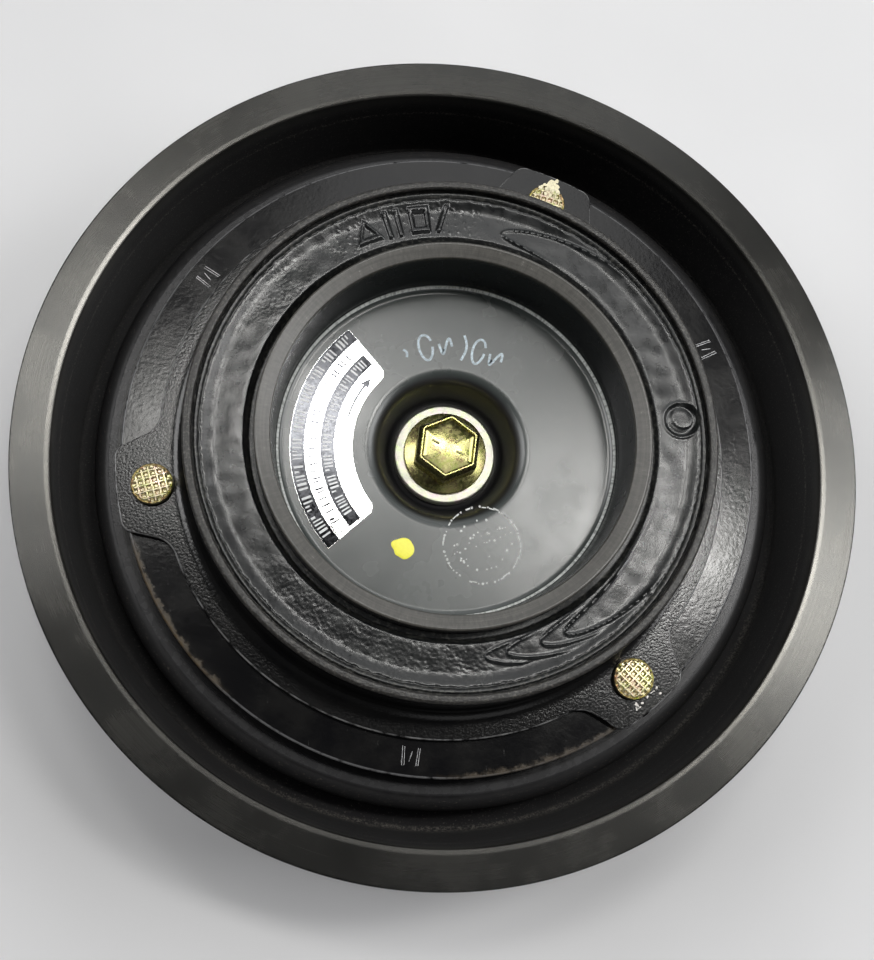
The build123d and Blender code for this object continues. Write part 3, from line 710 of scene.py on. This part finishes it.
def leaf(u, v, tip, opens, reach, width):
    """Raised outline of a flow leaf: 1 on the line, and the share of the inside at each point."""
    along = (u - tip[0]) * opens
    half = width * np.sqrt(np.clip(along / reach, 0, 1))
    side = np.abs(v - tip[1] - 0.05 * along)
    fade = smoothstep(-0.3, 0.4, along) * smoothstep(1.6 * reach, 0.7 * reach, along)
    line = np.exp(-((side - half) / 0.22) ** 2) * fade
    return line, smoothstep(0.3, -0.3, side - half) * fade


def flow_leaves(u, r):
    """Height of the two main flow leaves and the small ones beside them."""
    height = np.zeros_like(r)
    for angle, radius, opens, reach, width, rise in (
        (76.5, 39.0, -1, 26.0, 3.9, 0.30),
        (-62.5, 39.5, 1, 22.0, 3.6, 0.34),
        (-69.0, 39.2, 1, 9.0, 2.6, 0.26),
        (-78.0, 39.0, 1, 10.0, 2.8, 0.24),
        (-83.5, 39.1, 1, 6.0, 2.0, 0.18),
    ):
        line, inside = leaf(u, r, (radians(angle) * DAMPER_MIDDLE_R, radius), opens, reach, width)
        height += line * rise + inside * 0.10
    return height


def wrinkles(a, r, u):
    """Height of the wrinkles along the near side, with a few on the upper left."""
    skew = np.stack([u * 1.15 + r * 0.9, r * 2.5 - u * 0.35, np.zeros_like(u)], -1)
    scales = 1 - np.abs(noise_at(skew, 0.95, 3.0)) * 2 + 0.35 * noise_at(skew, 1.9, 9.0)
    near = smoothstep(205, 232, a) * smoothstep(296, 270, a)
    upper_left = 0.5 * smoothstep(127, 134, a) * smoothstep(156, 146, a)
    between = smoothstep(GROOVE_R0 + 0.1, GROOVE_R0 + 1.0, r) * smoothstep(GROOVE_R1, GROOVE_R1 - 0.8, r)
    return scales * (0.008 + (near + upper_left) * 0.048) * between


def damper():
    """Rubber ring: hollow front with grooves at both edges, gate mark, flow lines and wrinkles."""
    r_in, r_out, r_base, z_base = 34.95, 45.3, 44.45, 43.4
    columns = 1320
    angles = np.arange(columns) * 360.0 / columns
    spans = ((r_in, 37.2, 16), (37.4, 43.8, 28), (GROOVE_R1, r_out, 14))
    a, r = np.meshgrid(angles, np.concatenate([np.linspace(*span) for span in spans]))
    flat = np.stack([r * np.cos(np.radians(a)), r * np.sin(np.radians(a)), np.zeros_like(r)], -1)
    turn = (a + 180.0) % 360.0 - 180.0
    u = np.radians(turn) * DAMPER_MIDDLE_R
    middle = smoothstep(GROOVE_R0 + 0.2, GROOVE_R0 + 1.0, r) * smoothstep(GROOVE_R1, GROOVE_R1 - 0.8, r)

    ragged = noise_at(flat, 1.4) * 0.16 + noise_at(flat, 0.5, 7.0) * 0.12
    deep = 0.35 + 0.65 * smoothstep(112, 138, a) * smoothstep(318, 292, a)
    z = 55.05 + 0.85 * smoothstep(41.5, 44.9, r) + 0.15 * smoothstep(42.0, GROOVE_R0, r)
    z += 0.35 * smoothstep(43.9, 44.8, r)
    z -= 2.2 * deep * smoothstep(36.9, 35.8, r + ragged * 0.4)
    z -= 0.35 * smoothstep(44.9, 45.2, r + ragged * 0.5)
    z -= 0.22 * np.exp(-((r + ragged - 44.15) / 0.16) ** 2)
    z = gate_mark(z, flat) + moulded_marks(r, turn)
    z += flow_leaves(u, r) * middle + wrinkles(a, r, u)
    crumbs = smoothstep(0.25, 0.5, noise_at(flat, 1.9, 11.0))
    z += crumbs * 0.07 * smoothstep(78, 84, a) * smoothstep(128, 118, a) * middle
    z += noise_at(flat, 0.35, 5.0) * 0.07 * middle
    z = np.minimum(z, 56.6)

    under = [(r_out - 0.05, 54.85), (r_base, 53.5), (r_base, 49.0)]
    under += [(r_base, z_base), (r_in, z_base), (r_in, 49.0)]
    rows = np.concatenate([r, *[np.full((1, columns), radius) for radius, _ in under]])
    heights = np.concatenate([z, *[np.full((1, columns), level) for _, level in under]])
    ring = sheet(angles, rows, heights)
    piece("damper", [ring], "hub", "damper_rubber", "rubber", "rubber_damper", smooth=70)


def ear_outline():
    """Outer edge of the plate as angles and radii: a circle with three tapering ears."""
    edge_r, tip_r, root_angle = 52.7, 60.1, 11.39
    root, tip = (51.67, 10.41), (59.64, 7.44)
    corners = [polar(edge_r, root_angle + 9.0), polar(edge_r, root_angle + 6.0)]
    corners += [(*root, 4.5), (*tip, 2.6), polar(tip_r, 2.6), (tip_r, 0.0)]
    half_ear = sorted((max(degrees(atan2(p.y, p.x)), 0.0), p.length) for p in rounded(corners, 10))
    outline = {}
    for ear in EARS:
        for a, r in half_ear:
            outline[round((ear + a) % 360, 3)] = r
            outline[round((ear - a) % 360, 3)] = r
    for a in range(0, 360):
        if all(abs((a - ear + 180) % 360 - 180) > root_angle + 9.5 for ear in EARS):
            outline[float(a)] = edge_r
    angles = np.array(sorted(outline))
    return angles, np.array([outline[a] for a in angles])


def outer_plate():
    """Pressed plate: flat ring with three ears, flared up into the collar round the rubber."""
    angles, edge = ear_outline()
    flat_r, ease = 50.5, 0.35
    collar_r0, collar_r1 = 45.35, 46.95
    collar = rounded([
        (44.5, ARM_Z1, 1.0),
        (flat_r, ARM_Z1),
        (flat_r, PLATE_Z1),
        (47.5, PLATE_Z1, 2.6),
        (collar_r1, COLLAR_Z1, 0.6),
        (collar_r0, COLLAR_Z1, 0.5),
        (collar_r0, 54.9, 0.3),
        (44.5, 53.6, 0.5),
    ], 7)
    start = next(i for i, point in enumerate(collar) if point.x > 50)
    inner = collar[start + 1:] + collar[:start + 1]
    turns = [step * pi / 8 for step in range(5)]
    rows = [np.full(len(angles), point.x) for point in inner]
    rows += [edge - ease + ease * sin(t) for t in turns]
    rows += [edge - ease + ease * cos(t) for t in turns]
    levels = [point.y for point in inner]
    levels += [ARM_Z1 + ease - ease * cos(t) for t in turns]
    levels += [PLATE_Z1 - ease + ease * sin(t) for t in turns]
    ring = sheet(angles, np.array(rows), np.array(levels)[:, None])
    place = ("armature", "plate_black", "plate", "outer_plate")
    piece("plate", [ring], *place, smooth=35.0, weighted=True)


def armature():
    """Armature ring with eased edges."""
    bore, back = 38.0, 37.5
    profile = [(bore, back, 0.3), (ARM_R, back, 0.3), (ARM_R, ARM_Z1, 0.5), (bore, ARM_Z1, 0.3)]
    place = ("armature", "armature_black", "armature", "armature_plate")
    turned_piece("armature_ring", profile, 320, 4, *place)


def rivets():
    """Waffle-headed rivets: a grid of ridges with square pits between them."""
    pitch, columns, shank_r, tail_r = 1.22, 150, 2.5, 3.8
    radii = np.linspace(0.0, RIVET_R - 0.35, 46)
    angles = np.arange(columns) * 360.0 / columns
    around = (RIVET_R - 0.15, RIVET_R - 0.03, RIVET_R, RIVET_R - 0.1, shank_r, shank_r, tail_r, tail_r, 0.0)
    levels = [PLATE_Z1 + v for v in (1.1, 0.95, 0.7, 0.02, 0.0)] + [39.2, 37.95, 37.6, 37.6]
    shapes = []
    for ear in EARS:
        a, r = np.meshgrid(np.radians(angles), radii)
        turn = radians(ear + 8)
        gx, gy = r * np.cos(a - turn), r * np.sin(a - turn)
        ridges = [smoothstep(0.30, 0.12, np.abs((g / pitch + 0.5) % 1.0 - 0.5)) for g in (gx, gy)]
        dome = 0.25 * (1 - (r / RIVET_R) ** 2)
        z = PLATE_Z1 + 0.72 + dome + 0.42 * np.maximum(*ridges) * smoothstep(3.42, 3.2, r)
        rows = np.array([*r] + [np.full(columns, v) for v in around])
        heights = np.array([*z] + [np.full(columns, v) for v in levels])
        shapes.append(sheet(angles, rows, heights, False, polar(RIVET_AT, ear)))
    piece("rivets", shapes, "armature", "rivet_zinc", "rivet", "armature_rivets", smooth=60)


def hub_bolt():
    """Flange bolt: a hexagon head with a bevelled edge, a hexagonal dish and four ticks in it."""
    across, turn, length = 11.4, 22.6, 12.0
    thread_r, flange_r = 3.0, 7.8
    tip = WASHER_Z1 - length
    profile = [
        (0.0, tip),
        (thread_r - 0.6, tip),
        (thread_r, tip + 0.6),
        (thread_r, WASHER_Z1),
        (flange_r, WASHER_Z1),
        (flange_r, WASHER_Z1 + 0.7, 0.35),
        (5.5, WASHER_Z1 + 1.8, 0.6),
        (0.0, WASHER_Z1 + 1.8),
    ]
    # Rows up the head and down into its dish: share of the half width, depth below the top, and
    # how far the row is still a hexagon.
    head_rows = [(1.0, BOLT_Z1 - WASHER_Z1 - 1.0, 1.0), (1.0, 1.5, 1.0), (0.985, 1.1, 1.0)]
    head_rows += [(0.90, 0.28, 1.0), (0.885, 0.08, 1.0), (0.865, 0.0, 1.0), (0.835, 0.0, 1.0)]
    head_rows += [(0.815, 0.12, 1.0), (0.785, 0.62, 1.0), (0.75, 0.76, 1.0)]
    head_rows += [(0.66, 0.90, 0.6), (0.58, 1.00, 0.3), (0.5, 1.09, 0.1), (0.4, 1.18, 0.0)]
    head_rows += [(0.3, 1.25, 0.0), (0.2, 1.30, 0.0), (0.1, 1.33, 0.0), (0.0, 1.34, 0.0)]
    angles = turn + np.arange(360.0)
    flat = 1 / np.cos(np.radians((angles - turn) % 60.0 - 30.0))
    half, corner = across / 2, 1.13
    rows = [share * half * np.minimum(flat ** hexed, corner) for share, _, hexed in head_rows]
    heights = np.array([[BOLT_Z1 - depth] for _, depth, _ in head_rows])
    head = sheet(angles, np.array(rows), heights, False)
    stem = turned(profile, 180, 5, False)
    piece("bolt", [stem, head], "hub", "bolt_zinc", "bolt", "hub_bolt", smooth=28)
    # The ticks take the darker zinc as painted shade.
    ticks = []
    for k in (0, 2, 3, 5):
        ends = [polar(radius, turn + 12 + 60 * k) for radius in (1.7, 3.2)]
        ticks.append(prism(ribbon(ends, 0.3), BOLT_Z1 - 1.3, BOLT_Z1 - 0.86))
    piece("bolt_ticks", ticks, "hub", "bolt_zinc", "tick")


def washer():
    """Hard washer with rounded edges."""
    bore, outer = 3.3, 9.6
    profile = [(bore, WASHER_Z0), (outer, WASHER_Z0, 0.3), (outer, WASHER_Z1, 0.5), (bore, WASHER_Z1)]
    turned_piece("washer", profile, 160, 5, "hub", "washer_steel", "washer", "hub_washer")


def bars(rng, r0, r1, start, end, count, wide=(0.5, 1.0)):
    """Groups of plain bars between two radii, standing in for print."""
    outlines, angle = [], start
    while angle < end:
        for _ in range(rng.choice(count)):
            width = rng.uniform(*wide)
            low = rng.choice([0.0, 0.0, 0.0, 0.5]) * (r1 - r0)
            if angle + width < end:
                outlines.append(arc_patch(r0 + low, r1, angle, angle + width))
            angle += width + rng.uniform(0.7, 1.1)
        angle += 1.6
    return outlines


def label():
    """Silver sticker and its print: plain bands, bars and a turning arrow."""
    start, end, r0, r1, corner = 129.3, 221.2, 17.6, 28.9, 1.6
    outline = arc_patch(r1, r1, start, end)[:ceil((end - start) / ARC_STEP) + 1]
    turns = [step * pi / 12 for step in range(7)]
    eased = [(r0 + corner * (1 - sin(t)), degrees(corner * (1 - cos(t)) / r0)) for t in turns]
    outline += [polar(r, end - a) for r, a in eased]
    outline += [polar(r0, a) for a in np.linspace(end - 7, start + 7, 40)]
    outline += [polar(r, start + a) for r, a in reversed(eased)]
    piece("label", [prism(outline, LABEL_Z0, LABEL_Z1)], "hub", "label_foil", "foil", "hub_label")

    rng = random.Random(4)
    bands = [arc_patch(26.3, 28.86, start + 0.1, end - 0.1)]
    bands.append(arc_patch(20.9, 23.4, start + 2.5, end - 1.5))
    white = bars(rng, 26.75, 28.45, start + 2.5, end - 2.5, (4, 6, 7))
    white += bars(rng, 21.35, 22.95, start + 5, end - 4, (5, 6))
    dark = bars(rng, 24.1, 25.6, start + 8, end - 6, (1, 2), (0.5, 0.8))
    dark.append(arc_patch(18.95, 19.35, start + 14, start + 34))
    dark.append([polar(18.3, start + 14), polar(20.0, start + 14), polar(19.15, start + 8.5)])
    ink_z = LABEL_Z1 + PRINT
    on_label = ("hub", "label_foil")
    piece("label_bands", [prism(o, LABEL_Z1, ink_z) for o in bands], *on_label, "dark_print")
    piece("label_dark_marks", [prism(o, LABEL_Z1, ink_z) for o in dark], *on_label, "dark_print")
    piece("label_white_marks", [prism(o, ink_z, ink_z + PRINT) for o in white], *on_label, "white_print")


def blob(rng, radius, wobble, centre, points):
    """Uneven round outline."""
    waves = [(rng.uniform(0, 2 * pi), rng.uniform(0.4, 1.0) * wobble / k, k) for k in range(2, 8)]
    outline = []
    for i in range(points):
        t = 2 * pi * i / points
        r = radius * (1 + sum(size * sin(k * t + phase) for phase, size, k in waves))
        outline.append((centre[0] + r * cos(t), centre[1] + r * sin(t)))
    return outline


def domed(outline, z0, height, rings=5):
    """A drop of paint: the outline raised into a low dome."""
    centre = np.mean(outline, 0)
    edge = np.array(outline) - centre
    levels = [(0.0, z0), (1.0, z0)]
    for k in range(rings + 1):
        t = k / rings * pi / 2
        levels.append((cos(t), z0 + height * (0.25 + 0.75 * sin(t))))
    rows = np.stack([np.column_stack([edge * share + centre, np.full(len(edge), z)]) for share, z in levels])
    index = np.arange(rows.shape[0] * rows.shape[1]).reshape(rows.shape[:2])
    return rows.reshape(-1, 3), quads_of(np.hstack([index, index[:, :1]]))


def marker_strokes():
    """Loose marker strokes on the cup's floor: loops, waves and hooks that spell nothing."""
    middle_r, width = 19.6, 0.46
    strokes = []
    for start, span, kind in (
        (106, 9, "loop"), (94.5, 8, "wave"), (84, 6, "hook"),
        (76, 8, "loop"), (66, 8, "wave"), (115, 3, "hook"),
    ):
        size = 2.5 if span > 4 else 0.8
        path = []
        for i in range(25):
            t = i / 24
            if kind == "loop":
                round_by = 2 * pi * t * 0.92 + 0.5
                back, out = span * 0.42 * cos(round_by), size * sin(round_by)
            elif kind == "hook":
                back, out = span * 0.35 * sin(pi * t), size * (1 - 2 * t)
            else:
                back, out = span * (0.45 - 0.9 * t), size * 0.62 * sin(2.1 * pi * t)
            path.append(polar(middle_r + out, start - span / 2 - back))
        strokes.append(prism(ribbon(path, width), FLOOR_Z, FLOOR_Z + PRINT))
    piece("marker_strokes", strokes, "hub", "hub_paint", "blue_ink")


def round_stamp(rng):
    """Worn stamp on the cup's floor: three rings and three rows of dots and dashes."""
    top = FLOOR_Z + PRINT
    cx, cy = polar(19.1, -71.9)
    dots = []
    for radius, step, keep in ((7.0, 0.75, 0.86), (4.6, 0.9, 0.45), (2.4, 0.9, 0.5)):
        for i in range(int(2 * pi * radius / step)):
            if rng.random() >= keep:
                continue
            t = i * step / radius
            x = cx + (radius + rng.uniform(-0.12, 0.12)) * cos(t)
            y = cy + (radius + rng.uniform(-0.12, 0.12)) * sin(t)
            if radius > 6 and rng.random() < 0.55:
                along = rng.uniform(0.25, 0.55)
                ends = [(x - k * along * sin(t), y + k * along * cos(t)) for k in (-1, 0, 1)]
                dots.append(prism(ribbon(ends, rng.uniform(0.18, 0.3)), FLOOR_Z, top))
            else:
                dots.append(prism(blob(rng, rng.uniform(0.13, 0.26), 0.25, (x, y), 9), FLOOR_Z, top))
    for row in (-1.4, 0.2, 1.5):
        for i in range(-11, 12):
            if rng.random() < 0.4:
                spot = (cx + i * 0.495 - row * 0.4, cy + row + i * 0.18 + rng.uniform(-0.2, 0.2))
                dots.append(prism(blob(rng, rng.uniform(0.10, 0.20), 0.25, spot, 9), FLOOR_Z, top))
    piece("stamp_dots", dots, "hub", "hub_paint", "stamp")


def marks_on_floor():
    """Paint dot, marker strokes and round stamp on the cup's floor."""
    rng = random.Random(11)
    dot = domed(blob(rng, 1.95, 0.20, polar(20.6, -114), 60), FLOOR_Z, 0.16)
    piece("paint_dot", [dot], "hub", "hub_paint", "yellow", smooth=60)
    marker_strokes()
    round_stamp(rng)


def tally_strokes():
    """Three groups of scribed strokes on the armature."""
    strokes = []
    for angle in (143.5, 22.5, -97.3):
        across, out, middle = (Vector(polar(*at)) for at in ((1.0, angle + 90), (1.0, angle), (55.7, angle)))
        for shift, half, lean in (
            (-1.5, 1.7, 0.10), (-1.1, 1.6, 0.12), (0.0, 0.9, -0.2), (1.15, 1.6, -0.06), (1.5, 1.5, -0.04),
        ):
            path = [middle + across * (shift + lean * t) + out * (half * t) for t in (-1, 0, 1)]
            strokes.append(prism(ribbon(path, 0.12), ARM_Z1, ARM_Z1 + 0.02))
    piece("scribed_strokes", strokes, "armature", "armature_black", "scribe")


def marks_on_armature():
    """Tally strokes, bare flecks beside one rivet and a paint smear over another."""
    tally_strokes()
    rng = random.Random(23)
    under = PLATE_Z1 - 0.01
    rivet = polar(RIVET_AT, EARS[1])
    flecks = []
    for x, y, spread, count in ((36.4, -44.3, 0.75, 14), (33.9, -47.3, 0.55, 9)):
        for _ in range(count):
            spot = (rng.gauss(x, spread), rng.gauss(y, spread * 0.6))
            if hypot(spot[0] - rivet[0], spot[1] - rivet[1]) > RIVET_R + 0.35 and hypot(*spot) < ARM_R + 0.1:
                outline = blob(rng, rng.uniform(0.10, 0.26), 0.6, spot, 13)
                flecks.append(prism(outline, under, PLATE_Z1 + PRINT))
    piece("bare_flecks", flecks, "armature", "plate_black", "fleck")
    smear = []
    cx, cy = polar(RIVET_AT, EARS[2])
    for x, y, radius in (
        (0.9, 2.7, 1.15), (0.2, 3.9, 0.75), (2.0, 2.4, 0.8), (1.5, 4.6, 0.95), (2.5, 4.1, 0.6),
        (0.4, 1.6, 0.7), (3.3, 1.2, 0.5), (2.6, 5.3, 0.4), (-0.9, 3.3, 0.45), (1.6, 1.2, 0.45),
    ):
        level = PLATE_Z1 + 1.16 if hypot(x, y) < 3.5 else under
        smear.append(domed(blob(rng, radius, 0.30, (cx + x, cy + y), 30), level, 0.05, 3))
    piece("paint_smear", smear, "armature", "plate_black", "pale_smear", smooth=50)


pulley_rim()
hub_cup()
damper()
outer_plate()
armature()
rivets()
hub_bolt()
washer()
label()
marks_on_floor()
marks_on_armature()

KEPT = {
    "rotor": ["rotor"],
    "bearing": ["bearing_outer_ring", "bearing_inner_ring"],
    "seal": ["bearing_seal_front", "bearing_seal_rear"],
    "ball": ["bearing_balls"],
    "cage": ["bearing_cage_front", "bearing_cage_rear"],
    "zinc": ["stator_flange"],
    "shell": ["stator_shell"],
    "bobbin": ["coil_bobbin"],
    "copper": ["coil_winding"],
    "resin": ["coil_resin"],
    "grommet": ["lead_grommet"],
    "spring": ["coil_snap_ring", "nose_snap_ring"],
    "boss": ["hub_boss"],
    "shim": ["hub_shims"],
}
for look, nodes in KEPT.items():
    for node in nodes:
        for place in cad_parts[node].material_slots:
            place.material = looks[look]


# Stage

def floor_look():
    """Matt white paper with a faint, slow change of tone."""
    look = Look("floor_paper")
    tone = look.noise(0.012, 3, 0.5)
    look.colour(look.mix(look.step(tone, 0.3, 0.7), (0.68, 0.68, 0.69), (0.72, 0.72, 0.73)))
    look.relief(look.noise(0.9, 3, 0.5), 0.01)
    return look.done(roughness=look.step(tone, 0.3, 0.7, 0.65, 0.8))


FLOOR_HALF = 1500.0
FLOOR_DROP = 0.3
corners = [(x * FLOOR_HALF, y * FLOOR_HALF) for x, y in ((-1, -1), (1, -1), (1, 1), (-1, 1))]
floor = mesh_of("floor", [prism(corners, -FLOOR_DROP - 5.0, -FLOOR_DROP)])
floor.data.materials.append(floor_look())


def lamp(name, slope, distance, size, power, colour=(1.0, 1.0, 1.0), roll=0.0):
    """Area lamp above the clutch; slope is how far it leans in X and Y for each unit of height."""
    light = bpy.data.lights.new(name, "AREA")
    light.shape = "RECTANGLE"
    light.size, light.size_y = size
    light.energy = power
    light.color = colour
    toward = Vector((*slope, 1.0)).normalized()
    along = Vector((cos(radians(roll)), sin(radians(roll)), 0.0))
    side = (along - toward * along.dot(toward)).normalized()
    turn = Matrix((side, toward.cross(side), toward)).transposed()
    place = Vector((0, 0, RIM_Z1 * MM)) + toward * distance
    holder = bpy.data.objects.new(name, light)
    holder.matrix_world = Matrix.Translation(place) @ turn.to_4x4()
    holder.visible_camera = False
    bpy.context.scene.collection.objects.link(holder)


lamp("tube_left", (-0.03, 0.294), 0.9, (0.18, 0.08), 1.05, (1.0, 0.99, 0.96), -20.0)
lamp("tube_end", (-0.18, 0.265), 0.9, (0.10, 0.10), 0.30, (1.0, 0.99, 0.96), -20.0)
lamp("tube_right", (0.315, 0.168), 0.9, (0.22, 0.08), 1.75, (1.0, 0.99, 0.96), -20.0)
lamp("back_soft", (0.17, 0.50), 1.0, (0.36, 0.34), 0.5)
lamp("left_soft", (-0.9, 0.3), 1.0, (0.5, 0.5), 4.0)
lamp("right_soft", (1.0, 0.1), 0.8, (0.4, 0.4), 2.9)
lamp("far_soft", (0.3, 1.5), 0.7, (0.5, 0.5), 0.9, (0.97, 0.99, 1.0))
lamp("near_soft", (0.4, -1.5), 1.0, (0.5, 0.5), 0.35)


def surroundings():
    """Pale room that is darker overhead on the near side."""
    world = bpy.data.worlds.new("room")
    world.use_nodes = True
    bpy.context.scene.world = world
    world.node_tree.nodes.clear()
    room = Nodes(world.node_tree)
    direction = room.add("ShaderNodeTexCoord").outputs["Generated"]
    dark_way = Vector((0.10, -0.30, 1.0)).normalized()
    facing = room.add("ShaderNodeVectorMath", {0: direction, 1: dark_way}, operation="DOT_PRODUCT")
    fade = room.step(facing.outputs["Value"], cos(radians(48)), cos(radians(20)), 0.06, 0.015)
    shine = room.add("ShaderNodeBackground", {"Strength": fade, "Color": (0.97, 0.98, 1.0, 1.0)})
    room.add("ShaderNodeOutputWorld", {"Surface": shine.outputs[0]})


surroundings()
bpy.context.scene.view_settings.view_transform = "Standard"


def camera():
    """Camera above the near left, leaning 14.4 degrees off the shaft."""
    lean, heading = radians(14.384), radians(62.810)
    aside, up_shift, distance = 2.280, 6.523, 209.444
    turn = Matrix.Rotation(lean, 3, Vector((-sin(heading), cos(heading), 0.0))).transposed()
    place = turn @ Vector((-aside, -up_shift, distance)) + Vector((0, 0, RIM_Z1))
    data = bpy.data.cameras.new("camera")
    data.sensor_fit = "VERTICAL"
    data.sensor_height = data.sensor_width = 36.0
    data.lens = 43.125
    data.clip_start, data.clip_end = 0.01, 20.0
    holder = bpy.data.objects.new("camera", data)
    holder.matrix_world = Matrix.Translation(place * MM) @ turn.to_4x4()
    bpy.context.scene.collection.objects.link(holder)
    bpy.context.scene.camera = holder


camera()
